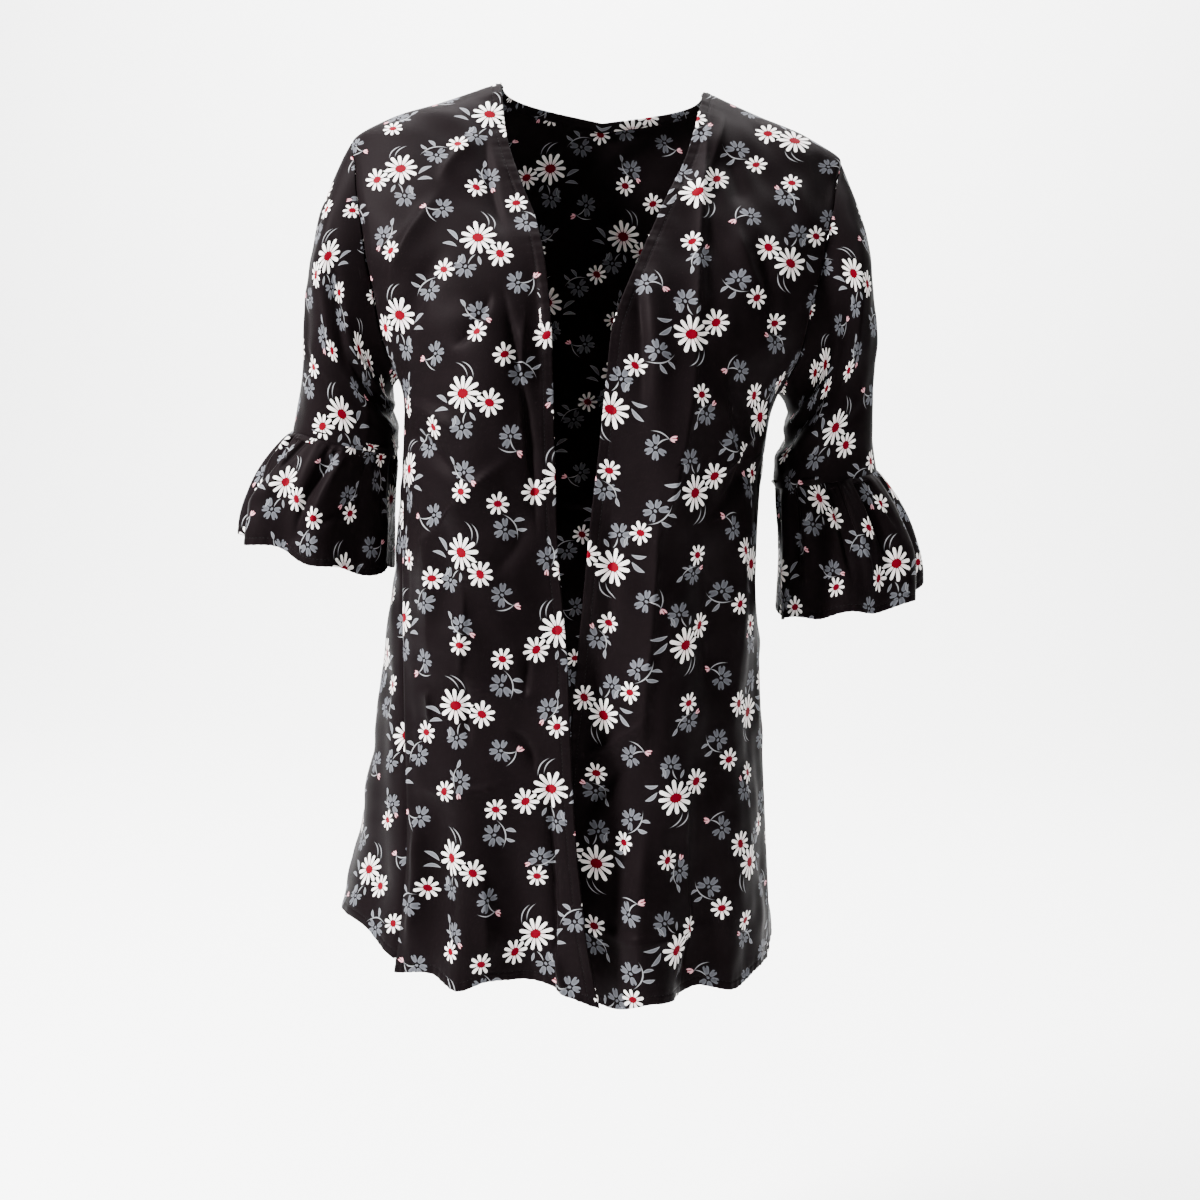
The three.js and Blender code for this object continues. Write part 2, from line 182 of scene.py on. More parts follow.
# Creases: each is a soft ridge or trough along a bent line from (x0, z0) to (x1, z1), seen from
# the front. sharp above 0 makes the side towards larger x steeper, below 0 the other side.
CREASE_COLUMNS = ["x0", "z0", "x1", "z1", "bend", "width", "height", "sharp"]
CREASES = tables(CREASE_COLUMNS, {
    "front_right": [
        [-62, -172, -34, -330, 4, 5, -8.5, 0.5],
        [-48, -186, -40, -300, -3, 3.4, 4.7, 0.5],
        [-44, -140, -34, -246, 2, 5, -4.4, 0.3],
        [-74, -168, -98, -206, 3, 5.5, -5.2, 0.5],
        [-56, -286, -120, -354, -3, 7.5, 6, -0.5],
        [-40, -330, -64, -372, 2, 8, -4.7, 0.2],
        [-102, -380, -54, -376, 1, 5, 3.6, 0.5],
        [-84, -454, -30, -462, -2, 5.5, 4.9, 0.5],
        [-87, -384, -88, -454, 2, 4.5, 3.4, 0.5],
        [-110, -540, -50, -530, -2, 5, 4.4, 0.5],
        [-36, -428, -38, -464, 1, 3.4, -3.6, 0.4],
        [-84, -452, -80, -502, 2, 4.4, -4.9, 0.4],
        [-112, -462, -110, -490, 1, 3.8, 3.9, 0.4],
        [-46, -488, -28, -518, 5, 4, -4.4, 0.4],
        [-118, -560, -122, -664, 2, 8, 6.5, 0.2],
        [-98, -552, -90, -672, -3, 9, -6.5, 0],
        [-64, -600, -60, -684, 2, 7, 4.7, 0.3],
        [-18, -520, -6, -692, 2, 4.6, -7.8, 0.6],
        [-10, -650, 6, -694, 1, 4, 4.4, 0.3],
        [-150, -160, -118, -92, 4, 7, 4.7, 0.3],
        [-140, -204, -112, -136, 4, 7, -4.4, 0],
        [-118, -80, -92, -44, 2, 6, 3.4, 0.3],
        [-88, -40, -66, -124, -3, 5.5, -3.6, 0.2],
        [-134, -246, -94, -270, 3, 6.5, 5.5, 0.4],
        [-134, -268, -90, -304, 3, 6.5, -4.9, 0.2],
        [-126, -300, -112, -440, 3, 8, 5.2, 0.3],
        [-110, -310, -100, -420, 3, 8, -4.2, 0],
    ],
    "front_left": [
        [82, -30, 78, -216, -2, 6.5, 6, 0.6],
        [78, -206, 58, -344, 3, 6, 5.2, 0.6],
        [56, -316, 52, -504, 2, 7, 6.2, 0.6],
        [100, -222, 112, -290, -3, 6, 5.2, 0.4],
        [58, -430, 36, -440, 0, 4.5, 3.9, -0.5],
        [54, -476, 10, -508, 3, 5.5, 5.5, -0.5],
        [40, -512, 8, -560, -3, 7, -4.7, 0.2],
        [10, -641, 108, -639, -2, 4.5, 3.6, 0.5],
        [30, -146, 40, -252, 3, 6.5, -5.5, 0.3],
        [44, -130, 56, -300, -3, 8, 3.9, 0],
        [20, -326, 22, -436, 2, 6, -5.2, 0.2],
        [122, -116, 148, -200, -4, 7, -4.7, 0.2],
        [104, -106, 132, -164, -4, 7, 4.2, 0.3],
        [94, -22, 72, -90, 3, 5.5, 3.6, 0.3],
        [98, -48, 106, -98, 2, 6, -3.4, 0],
        [84, -516, 90, -676, 2, 8, 6, 0.3],
        [34, -552, 28, -692, 2, 8, -6.5, 0],
        [58, -560, 60, -684, -3, 8, 5.2, 0.2],
        [118, -326, 122, -484, 3, 9, 5.7, 0.2],
        [134, -258, 96, -296, -3, 6.5, 5.5, 0.4],
        [134, -284, 94, -326, -3, 6.5, -4.7, 0.2],
        [92, -346, 104, -470, 3, 8, -4.7, 0],
    ],
    "back": [
        [-120, -60, -96, -150, 4, 7, -2.8, 0],
        [116, -64, 94, -158, -4, 7, -2.8, 0],
        [-150, -200, -92, -236, 5, 7, 3.9, 0],
        [-146, -224, -86, -262, 5, 6.2, -3.1, 0],
        [148, -206, 96, -246, -5, 7, 3.9, 0],
        [142, -232, 88, -270, -5, 6.2, -3.1, 0],
        [-60, -330, 20, -336, -2, 5, 2.8, 0.5],
        [30, -452, 96, -448, 2, 5, 2.8, 0.5],
        [-96, -470, -30, -476, -2, 5, 2.5, 0.5],
        [-70, -570, 40, -566, 2, 5, 2.8, 0.5],
        [10, -180, 4, -330, 3, 7, 2.8, 0.3],
        [-64, -280, -70, -420, -3, 7, -3.5, 0],
        [70, -260, 80, -420, 3, 7.9, 3.5, 0],
        [-20, -520, -26, -660, 3, 7, 3.9, 0],
        [118, -380, 126, -540, 3, 7.9, -3.9, 0],
        [-124, -400, -136, -560, -3, 7.9, 3.9, 0],
    ],
})
# Soft unevenness of the fronts and the back: wave lengths and heights
FRONT_RIPPLE = [(150, 1.5), (62, 1.0), (26, 0.3)]
BACK_RIPPLE = [(150, 1.6), (62, 1.0), (26, 0.3)]
SLEEVE_RIPPLE = [(60, 0.7), (25, 0.25)]

# Sleeves and cuffs, as in the solids
SLEEVES = {
    RIGHT: {"outerX": 237, "outerZ": -273, "innerX": 154, "innerZ": -290, "drop": 88, "lean": 2},
    LEFT: {"outerX": 234, "outerZ": -285, "innerX": 154, "innerZ": -303, "drop": 98, "lean": 8},
}
SLEEVE_DEPTH = 54.0
SLEEVE_STEP = 0.5
UNDERARM_STEP = 1.2
SLEEVE_HANG = (0.2, -0.98)
RUFFLE_FLARE = 37.0
RUFFLE_DEPTH = 76.0
RUFFLE_PUFF = 0.85
FLUTES = 7
FLUTE_HEIGHT = 8.5
FLUTE_DRIFT = 0.7
FLUTE_LOW = 0.4
FLUTE_GAIN = 0.3
GATHERS = 14
GATHER_HEIGHT = 1.9
GATHER_START = 0.12
GATHER_END = 1.4
FINE_TUCKS = 44
SOFT_TUCKS = 27
# Creases of the tubes, in mm round from the outer side (front positive) and down from the top
TUBE_ROUND = 58.0
SLEEVE_LONG = 215.0
RUFFLE_LONG = 95.0
SLEEVE_CREASES = tables(CREASE_COLUMNS, {
    RIGHT: [
        [128, -138, 122, -206, 2, 2.6, 2.4, 0.5],
        [60, -30, 84, -120, 5, 8, 2.6, 0.2],
        [88, -40, 104, -128, 4, 7, -2.6, 0],
        [28, -90, 36, -200, -3, 9, 2.0, 0],
        [150, -60, 112, -92, 3, 5, 2.2, 0.4],
        [158, -84, 118, -112, 3, 5, -2.0, 0],
        [40, -150, 92, -162, -3, 4, -1.4, 0],
        [-60, -40, -80, -150, 4, 9, 2.4, 0],
        [-110, -60, -100, -190, -4, 8, -2.4, 0],
        [-150, -70, -112, -96, -3, 5, 2.0, 0.3],
    ],
    LEFT: [
        [64, -30, 80, -130, 5, 8, 2.4, 0.2],
        [98, -36, 108, -140, -4, 8, -2.6, 0],
        [26, -80, 40, -205, 3, 9, 1.8, 0],
        [152, -66, 116, -98, 3, 5, 2.2, 0.4],
        [160, -92, 122, -120, 3, 5, -2.2, 0],
        [128, -140, 96, -196, -4, 6, 2.0, 0.3],
        [56, -160, 104, -170, -3, 4, -1.4, 0],
        [-56, -40, -84, -140, 4, 9, 2.4, 0],
        [-104, -70, -112, -190, 3, 8, -2.4, 0],
        [-152, -64, -116, -100, -3, 5, 2.0, 0.3],
    ],
})
RUFFLE_CREASES = tables(CREASE_COLUMNS, {
    RIGHT: [
        [98, -3, 83, -76, -3, 3.6, -5.5, -0.3],
        [108, -4, 96, -84, -3, 6.5, 4.6, -0.3],
        [29, 2, 19, -44, 0, 2.6, -3.4, 0],
        [38, 2, 30, -34, 0, 2.6, 2.6, 0],
        [50, 2, 43, -36, 0, 2.4, -3.4, 0],
        [61, 2, 55, -30, 0, 2.2, -3.0, 0],
        [47, -22, 14, -60, 4, 4.2, -3.2, 0.3],
        [62, -34, 20, -74, 3, 6.0, 2.6, 0],
        [118, -40, 72, -90, 3, 5.0, -3.0, 0.2],
        [126, 2, 134, -50, 0, 3.4, -3.2, 0],
        [138, -4, 146, -90, 0, 5.0, 3.0, 0],
        [152, 0, 160, -60, 0, 3.4, -2.6, 0],
        [-26, 2, -16, -50, 0, 2.8, -3.2, 0],
        [-52, 2, -46, -80, 2, 3.6, -4.6, 0.3],
        [-64, 0, -62, -84, 2, 6.0, 4.0, 0],
        [-92, 2, -84, -60, 0, 2.8, -3.6, 0],
        [-118, 2, -126, -84, 2, 4.2, -4.4, -0.3],
        [-146, 2, -150, -50, 0, 3.0, -2.6, 0],
    ],
    LEFT: [
        [100, 0, 98, -70, 3, 4.2, -5.0, 0.3],
        [88, -2, 80, -88, 2, 6.5, 4.6, 0.2],
        [74, 1, 64, -74, -2, 3.6, -4.4, 0.3],
        [58, 1, 50, -40, 0, 2.4, -3.0, 0],
        [42, 1, 32, -88, 2, 5.5, 3.2, 0],
        [30, 1, 20, -56, 0, 2.8, -3.4, 0],
        [118, 1, 122, -44, 0, 2.6, -3.2, 0],
        [130, -6, 140, -96, 2, 5.5, 3.6, 0],
        [142, 1, 152, -60, 0, 3.4, -3.2, 0],
        [160, 1, 166, -90, 0, 4.0, 2.2, 0],
        [-24, 1, -16, -60, 0, 2.8, -3.2, 0],
        [-48, 1, -44, -90, 2, 4.0, -4.6, -0.3],
        [-62, 0, -60, -92, 2, 6.0, 4.0, 0],
        [-86, 1, -80, -56, 0, 2.8, -3.4, 0],
        [-112, 1, -122, -92, 2, 4.4, -4.6, 0.3],
        [-140, 1, -148, -60, 0, 3.0, -2.8, 0],
    ],
})

# Turned hems, the cloth turned in at the seams, and the stitches
FRONT_HEM = 6.5
LOW_HEM = 6.0
RUFFLE_HEM = 5.0
SEAM_WIDE = 8.0
STITCH_LONG = 2.0
STITCH_PITCH = 3.0
STITCH_THICK = 0.34
STITCH_RINGS = 6
STITCH_SIDES = 6

# Where the lines of each grid lie. They are close together at hems and seams.
FRONT_ACROSS = spread([(0.06, 8), (0.9, 96), (1.0, 20)])
BODY_DOWN = spread([(0.03, 10), (0.985, 270), (1.0, 14)])
BACK_ACROSS = spread([(0.03, 8), (0.97, 116), (1.0, 8)]) * 2 - 1
SLEEVE_AROUND = np.pi + np.linspace(0, 2 * np.pi, 151)
SLEEVE_DOWN = spread([(0.05, 6), (0.95, 60), (1, 6)])
RUFFLE_AROUND = np.pi + np.linspace(0, 2 * np.pi, 431)
RUFFLE_DOWN = spread([(0.12, 12), (0.93, 24), (1, 8)])


# The body's surface


def read(rows, column, level, key="z"):
    """A column of a table at falling levels: a cubic through its rows, held back at turns."""
    at = rows[key]
    value = rows[column]
    step = np.diff(value) / np.diff(at)
    before = step[:-1]
    after = step[1:]
    both = before + after
    held = np.where(before * after > 0, 2 * before * after / np.where(both == 0, 1, both), 0)
    slope = np.concatenate([step[:1], held, step[-1:]])
    i = np.clip(np.searchsorted(-at, -np.asarray(level, float), side="left") - 1, 0, len(at) - 2)
    span = at[i + 1] - at[i]
    t = np.clip((level - at[i]) / span, 0, 1)
    return (
        value[i] * (1 + 2 * t) * (1 - t) ** 2
        + slope[i] * span * t * (1 - t) ** 2
        + value[i + 1] * t * t * (3 - 2 * t)
        + slope[i + 1] * span * t * t * (t - 1)
    )


def width_at(side, z):
    """Half width of the oval to one side at a level."""
    return read(BODY, "left" if side == LEFT else "right", z)


def depth_at(turn, z):
    """Half depth of the oval at a level, before the side's plane or behind it."""
    return np.where(turn >= 0, read(BODY, "front", z), read(BODY, "back", z))


def turn_at_x(side, x, z):
    """Turn round the front of the oval from the side, where x is as given."""
    across = np.clip(side * x / width_at(side, z), -1, 1)
    out = (1 - np.abs(across) ** ROUNDNESS) ** (1 / ROUNDNESS)
    return np.arctan2(out, across)


def turn_at_y(front, y, z):
    """The same, before (front 1) or behind (front -1) the side's own plane."""
    out = np.clip(y / depth_at(front, z), 0, 1)
    return front * np.arctan2(out, (1 - out**ROUNDNESS) ** (1 / ROUNDNESS))


def large_folds(rows, x, z):
    """Sum of the large folds: bells exp(-((x - centre) / width)^2) whose centres move with the level."""
    height = np.zeros_like(x)
    for k in range(len(rows["height"])):
        fold = {name: rows[name][k] for name in rows}
        on = smooth(fold["from"], fold["full"], z)
        centre = lerp(fold["xTop"], fold["xLow"], on)
        share = on * (1 - smooth(fold["fade"], fold["end"], z))
        height += fold["height"] * share * np.exp(-(((x - centre) / fold["width"]) ** 2))
    return height


def body_surface(side, turn, z, folds, inside):
    """Oval of each level, moved out along its own normal by the large folds."""
    width = width_at(side, z)
    depth = depth_at(turn, z)
    c = np.cos(turn)
    s = np.sin(turn)
    reach = (np.abs(c) ** ROUNDNESS + np.abs(s) ** ROUNDNESS) ** (-1 / ROUNDNESS)
    x = side * width * c * reach
    y = -depth * s * reach
    out_x = side * np.sign(c) * np.abs(c) ** (ROUNDNESS - 1) / width
    out_y = -np.sign(s) * np.abs(s) ** (ROUNDNESS - 1) / depth
    height = 0
    if folds is not None:
        height = large_folds(folds, x, z) * smooth(0, FOLD_FREE, inside)
    height = height / np.hypot(out_x, out_y)
    return np.stack([x + out_x * height, y + out_y * height, z + 0 * x], -1)


def armhole(angle, front):
    """Level and reach of the armhole's edge at an angle from its top."""
    z = lerp(SHOULDER_TIP_Z, UNDERARM_Z, (1 - np.cos(angle)) / 2)
    reach = np.where(front > 0, ARMHOLE_FRONT, ARMHOLE_BACK)
    return z, reach * np.sin(angle) * (1 - ARMHOLE_EGG * np.cos(angle))


def side_boundary(side, front, t, hem):
    """Down the armhole, then down the side seam to its hem."""
    angle = np.clip(np.pi * t / ARMHOLE_SHARE, 0, np.pi)
    z_hole, y_hole = armhole(angle, front)
    turn_hole = turn_at_y(front, np.maximum(y_hole, SEAM_HALF), z_hole)
    share = np.clip((t - ARMHOLE_SHARE) / (1 - ARMHOLE_SHARE), 0, 1)
    z_seam = lerp(UNDERARM_Z, hem, share)
    seam = turn_at_x(side, side * read(SIDE_SEAMS[side], "x", z_seam), z_seam)
    turn_seam = seam + front * SEAM_HALF / 135
    above = t < ARMHOLE_SHARE
    return np.where(above, turn_hole, turn_seam), np.where(above, z_hole, z_seam)


def front_surface(side, s, t):
    """A front: s from the side (0) to the free edge (1), t from shoulder (0) to hem (1)."""
    hem = read(HEMS[side], "z", s, "share")
    hem_side = read(HEMS[side], "z", 0.0, "share")
    hem_free = read(HEMS[side], "z", 1.0, "share")
    below = np.clip((t - ARMHOLE_SHARE) / (1 - ARMHOLE_SHARE), 0, 1)
    level = lerp(BODY["z"][0], UNDERARM_Z - GRAIN_DIP, np.minimum(1, t / ARMHOLE_SHARE))
    z_free = lerp(level, hem_free, below)
    turn_side, z_side = side_boundary(side, 1, t, hem_side)
    free = turn_at_x(side, read(FREE_EDGES[side], "x", z_free), z_free)
    bend = (hem - lerp(hem_side, hem_free, s)) * below**3
    z = lerp(z_side, z_free, s) + bend
    turn = np.maximum(lerp(turn_side, free, s), turn_at_y(1, SEAM_HALF, z))
    return body_surface(side, turn, z, LARGE_FOLDS[sided("front", side)], s)


def back_surface(u, t):
    """The back: u from the wearer's right (-1) to the left (1), t from top (0) to hem (1)."""
    halves = []
    for side in (RIGHT, LEFT):
        s = 1 - np.abs(u)
        hem = read(BACK_HEM, "z", u, "share")
        hem_side = read(BACK_HEM, "z", float(side), "share")
        hem_middle = read(BACK_HEM, "z", 0.0, "share")
        turn_side, z_side = side_boundary(side, -1, t, hem_side)
        middle = -np.pi / 2
        neck = np.clip((s - SHOULDER_SHARE) / (1 - SHOULDER_SHARE), 0, 1)
        below = np.clip((t - ARMHOLE_SHARE) / (1 - ARMHOLE_SHARE), 0, 1)
        bend = (hem - lerp(hem_side, hem_middle, s)) * below**3
        level = np.minimum(1, t / ARMHOLE_SHARE)
        eased = (level + (1 - np.cos(np.pi * level)) / 2) / 2
        z_middle = lerp(lerp(BACK_NECK_Z, UNDERARM_Z - GRAIN_DIP, eased), hem_middle, below)
        top_turn = middle * np.sin(neck * np.pi / 2)
        seam_z = lerp(SHOULDER_TIP_Z, BODY["z"][0], s / SHOULDER_SHARE)
        neck_z = lerp(BODY["z"][0], BACK_NECK_Z, smooth(0, 1, neck))
        top_z = np.where(s < SHOULDER_SHARE, seam_z, neck_z)
        lift = (1 - level) * (top_z - lerp(SHOULDER_TIP_Z, BACK_NECK_Z, s))
        z = lerp(z_side, z_middle, s) + bend + lift
        turn = lerp(turn_side, middle, s) + (1 - level) ** TOP_FADE * (top_turn - middle * s)
        behind = np.where(below > 0, turn, np.minimum(turn, turn_at_y(-1, SEAM_HALF, z)))
        halves.append(body_surface(side, behind, z, LARGE_FOLDS["back"], s))
    return np.where((u < 0)[..., None], halves[0], halves[1])


# The sleeves' and ruffles' surfaces


def cuff_ring(side):
    """Middle, half width and outward way of the ring where a sleeve ends."""
    size = SLEEVES[side]
    outer = np.array([side * size["outerX"], 0, size["outerZ"]], float)
    inner = np.array([side * size["innerX"], 0, size["innerZ"]], float)
    across = outer - inner
    half = np.linalg.norm(across) / 2
    return (outer + inner) / 2, half, across / (2 * half)


def sleeve_surface(side, turn, v):
    """A sleeve: turn runs about the arm from its top by the front, v from armhole to cuff. Each
    line down it is a cubic curve that leaves the armhole outwards and ends hanging."""
    front = np.where(np.sin(turn) >= 0, 1, -1)
    wrapped = np.mod(turn, 2 * np.pi)
    angle = np.where(wrapped <= np.pi, wrapped, 2 * np.pi - wrapped)
    z_hole, y_hole = armhole(angle, front)
    edge = body_surface(side, turn_at_y(front, y_hole, z_hole), z_hole, None, 0)
    wrap = np.abs(np.sin(turn))
    under = ((1 - np.cos(turn)) / 2) ** 2
    leave = np.stack(
        [
            side * (0.3 + 0.5 * wrap + 0.45 * under),
            -0.35 * np.sin(turn),
            -0.95 + 0.45 * wrap + 0.3 * under,
        ],
        -1,
    )
    leave /= np.linalg.norm(leave, axis=-1, keepdims=True)
    sideways = np.array([side * UNDERARM_STEP, 0, 0])
    start = edge + lerp(leave * SLEEVE_STEP, sideways, under[..., None])
    middle, half, out = cuff_ring(side)
    end = middle + out * (half * np.cos(turn))[..., None]
    end[..., 1] -= SLEEVE_DEPTH * np.sin(turn)
    long = np.linalg.norm(end - start, axis=-1, keepdims=True)
    down = np.array([side * SLEEVE_HANG[0], 0, SLEEVE_HANG[1]]) * long
    v = v[..., None]
    return (
        start * (1 + 2 * v) * (1 - v) ** 2
        + leave * long * v * (1 - v) ** 2
        + end * v * v * (3 - 2 * v)
        + down * v * v * (v - 1)
    )


def ruffle_surface(side, turn, v):
    """A cuff ruffle: v runs from the gathered seam to the hem. The ring widens with v, and
    cosines of the turn make small gathers that run into wide flutes."""
    middle, half, out = cuff_ring(side)
    puff = np.sin(np.pi / 2 * v**RUFFLE_PUFF)
    loose = FLUTE_LOW + FLUTE_GAIN * (1 + np.cos(turn))
    swell = np.sin(np.pi * np.clip(GATHER_START + v * GATHER_END, 0, 1))
    gather = GATHER_HEIGHT * swell * np.cos(GATHERS * turn)
    flute_turn = FLUTES * turn + FLUTE_DRIFT * np.sin(2 * turn)
    wave = gather + FLUTE_HEIGHT * loose * smooth(0, 1, v) * np.cos(flute_turn)
    wave += fine_gathers(side, turn, v)
    centre = middle + np.stack(
        [
            side * (RUFFLE_FLARE + SLEEVES[side]["lean"]) / 2 * puff,
            0 * puff,
            -(0.25 + SLEEVES[side]["drop"] * v) + hem_swing(side, turn) * v**2,
        ],
        -1,
    )
    reach = half + (RUFFLE_FLARE - SLEEVES[side]["lean"]) / 2 * puff + wave
    point = centre + out * (reach * np.cos(turn))[..., None]
    point[..., 1] -= (lerp(SLEEVE_DEPTH, RUFFLE_DEPTH, puff) + wave) * np.sin(turn)
    return point


def hem_swing(side, turn):
    """How far a ruffle's hem rises and falls round the cuff."""
    return 2.4 * np.sin(FLUTES * turn + 0.8 + side) + 2.0 * np.sin(3 * turn + 2 * side) - 1.0


def fine_gathers(side, turn, v):
    """Small uneven tucks under the gathered seam: cosines of a bent turn that die away with v."""
    bent = turn + 0.11 * np.sin(3 * turn + side) + 0.05 * np.sin(7 * turn + 2)
    near = 0.75 * np.exp(-v / 0.16) * smooth(0, 0.05, v)
    far = 0.9 * np.exp(-v / 0.45) * smooth(0, 0.12, v)
    uneven = 0.65 + 0.35 * np.sin(5 * turn + 1.3 * side)
    return uneven * (near * np.cos(FINE_TUCKS * bent) + far * np.cos(SOFT_TUCKS * bent))


def sleeve_folds(side, turn, v):
    """Soft drapes that fall from the shoulder and small ones that turn in at the underarm."""
    drape = 1.8 * np.cos(5 * turn + 1.1 * side + 1.5 * v) * smooth(0.25, 0.9, v)
    inner = np.exp(-(((np.mod(turn, 2 * np.pi) - np.pi) / 1.1) ** 2))
    between = smooth(0.1, 0.4, v) * (1 - smooth(0.6, 1, v))
    tuck = 2.0 * np.cos(21 * v + 2.2 * np.cos(turn)) * inner * between
    return drape + tuck


# Creases, seams and hems on a grid of points


def normals(grid):
    """Unit normals of a grid of points, from the differences along both ways."""
    across = np.gradient(grid, axis=0)
    along = np.gradient(grid, axis=1)
    out = np.cross(across, along)
    return out / (np.linalg.norm(out, axis=-1, keepdims=True) + 1e-12)


def lengths(grid, axis, start):
    """Distance along the grid lines, 0 at the line start."""
    step = np.linalg.norm(np.diff(grid, axis=axis), axis=-1)
    pad = [(0, 0), (0, 0)]
    pad[axis] = (1, 0)
    run = np.cumsum(np.pad(step, pad), axis=axis)
    return run - np.take(run, [start], axis=axis)


def crease_height(rows, x, z):
    """Sum of the creases. Along a crease the height eases in and out. Across it the profile is a
    bell exp(-(off / flank)^2), which sharp turns into a tent exp(-|off| / flank) with a crisp
    line on top, and whose two flanks have widths set apart by sharp."""
    height = np.zeros_like(x)
    for k in range(len(rows["height"])):
        row = {name: rows[name][k] for name in rows}
        dx = row["x1"] - row["x0"]
        dz = row["z1"] - row["z0"]
        long = math.hypot(dx, dz)
        along = ((x - row["x0"]) * dx + (z - row["z0"]) * dz) / long**2
        off = ((x - row["x0"]) * -dz + (z - row["z0"]) * dx) / long
        off = off - row["bend"] * 4 * along * (1 - along)
        flank = row["width"] * np.where(off * row["sharp"] > 0, 1 - abs(row["sharp"]), 1.25)
        ends = smooth(-0.12, 0.28, along) * (1 - smooth(0.66, 1.12, along))
        bell = np.exp(-((off / flank) ** 2))
        tent = np.exp(-np.abs(off) / flank)
        height += row["height"] * ends * lerp(bell, tent, min(1, 2 * abs(row["sharp"])))
    return height


def round_creases(rows, turn, v, long):
    """Creases of a tube: x is measured round it from its outer side, z down from its top."""
    angle = np.mod(turn + np.pi, 2 * np.pi) - np.pi
    return crease_height(rows, angle * TUBE_ROUND, -v * long)


def crumple(seed, u, v, waves):
    """Soft unevenness: a sum of sine waves of falling size, with directions and starts by seed."""
    rng = np.random.default_rng(seed)
    height = np.zeros_like(u)
    for length, size in waves:
        for _ in range(5):
            way = rng.uniform(0, np.pi)
            start = rng.uniform(0, 2 * np.pi)
            stretch = rng.uniform(0.8, 1.25)
            k = 2 * np.pi / (length * stretch)
            height += size / 2.2 * np.sin(k * (u * np.cos(way) + v * np.sin(way)) + start)
    return height


def finish_cloth(base, flip, creases, seed, ripple, free, still):
    """Moves a grid along its normals by its creases and by soft unevenness. free takes the
    creases away at a free edge, and still takes all of it away at the seams."""
    out = normals(base) * (-1 if flip else 1)
    height = crumple(seed, base[..., 0] + base[..., 1], base[..., 2], ripple)
    height = height + crease_height(creases, base[..., 0], base[..., 2]) * free
    return base + out * (height * still)[..., None]


def reach_from_edge(lines):
    """Distance of each point from the first line, along the grid."""
    run = np.cumsum(np.linalg.norm(np.diff(lines, axis=0), axis=-1), axis=0)
    return np.concatenate([np.zeros_like(run[:1]), run])


def hem_marks(grid, axis, inset, depth, pucker):
    """Height of a stitched hem at the grid's last line: the cloth sinks along the stitching by
    depth * exp(-((distance - inset) / 0.9)^2), and its edge puckers in uneven waves."""
    g = np.moveaxis(grid, axis, 0)[::-1]
    away = reach_from_edge(g)
    along = np.linalg.norm(np.diff(g[0], axis=0), axis=-1)
    along = np.concatenate([[0], np.cumsum(along)])
    sink = -depth * np.exp(-(((away - inset) / 0.9) ** 2))
    wave = np.sin(along * 0.9 + 1.4 * np.sin(along * 0.13)) + 0.6 * np.sin(along * 0.41 + 2)
    wave = pucker * wave * np.exp(-((away / (1.6 * inset)) ** 2))
    return np.moveaxis((sink + wave)[::-1], 0, axis)


def seam_sink(grid):
    """How far the cloth dips into the seams on its first line and first column."""
    sink = 0
    for axis in (0, 1):
        away = reach_from_edge(np.moveaxis(grid, axis, 0))
        sink = sink + np.moveaxis(0.9 * np.exp(-((away / 1.8) ** 2)), 0, axis)
    return np.minimum(sink, 1.1)


def roll_edge(sheet, axis, last, width, radius, pucker=0.0):
    """Adds rows that turn the cloth's edge in: a half circle of the radius, then flat for the
    width, just inside the panel. pucker makes the turned edge swell and sink along its run."""
    grid, uv, out = [np.moveaxis(part, axis, 0) for part in sheet]
    if not last:
        grid, uv, out = grid[::-1], uv[::-1], out[::-1]
    edge = grid[-1]
    normal = out[-1]
    away = edge - grid[-2]
    away = away - normal * np.sum(away * normal, -1, keepdims=True)
    away = away / np.linalg.norm(away, axis=-1, keepdims=True)
    past = uv[-1] - uv[-2]
    past = past / (np.linalg.norm(past, axis=-1, keepdims=True) + 1e-9)
    run = np.concatenate([[0], np.cumsum(np.linalg.norm(np.diff(edge, axis=0), axis=-1))])
    swell = 1 + pucker * np.sin(run * 1.05 + 0.9 * np.sin(run * 0.21))
    round_the_edge = [(angle, 0.0) for angle in np.linspace(0, np.pi, 6)[1:]]
    back_under = [(np.pi, flat) for flat in np.linspace(0, width, 4)[1:]]
    new_grid = []
    new_uv = []
    for angle, flat in round_the_edge + back_under:
        r = (radius * swell)[:, None]
        ahead = r * math.sin(angle) - flat
        new_grid.append(edge + away * ahead - normal * r * (1 - math.cos(angle)))
        new_uv.append(uv[-1] + past * (radius * angle + flat))
    grid = np.concatenate([grid, new_grid])
    uv = np.concatenate([uv, new_uv])
    out = np.concatenate([out, np.repeat(out[-1:], len(new_grid), 0)])
    if not last:
        grid, uv, out = grid[::-1], uv[::-1], out[::-1]
    return [np.moveaxis(part, 0, axis) for part in (grid, uv, out)]


# Where the cloth coordinates of a front are plumb, and how far below the shoulders they begin to
# follow the levels and do so in full
PLUMB_X = 110.0
LEVEL_FROM = 60.0
LEVEL_FULL = 170.0


# Cloth coordinates


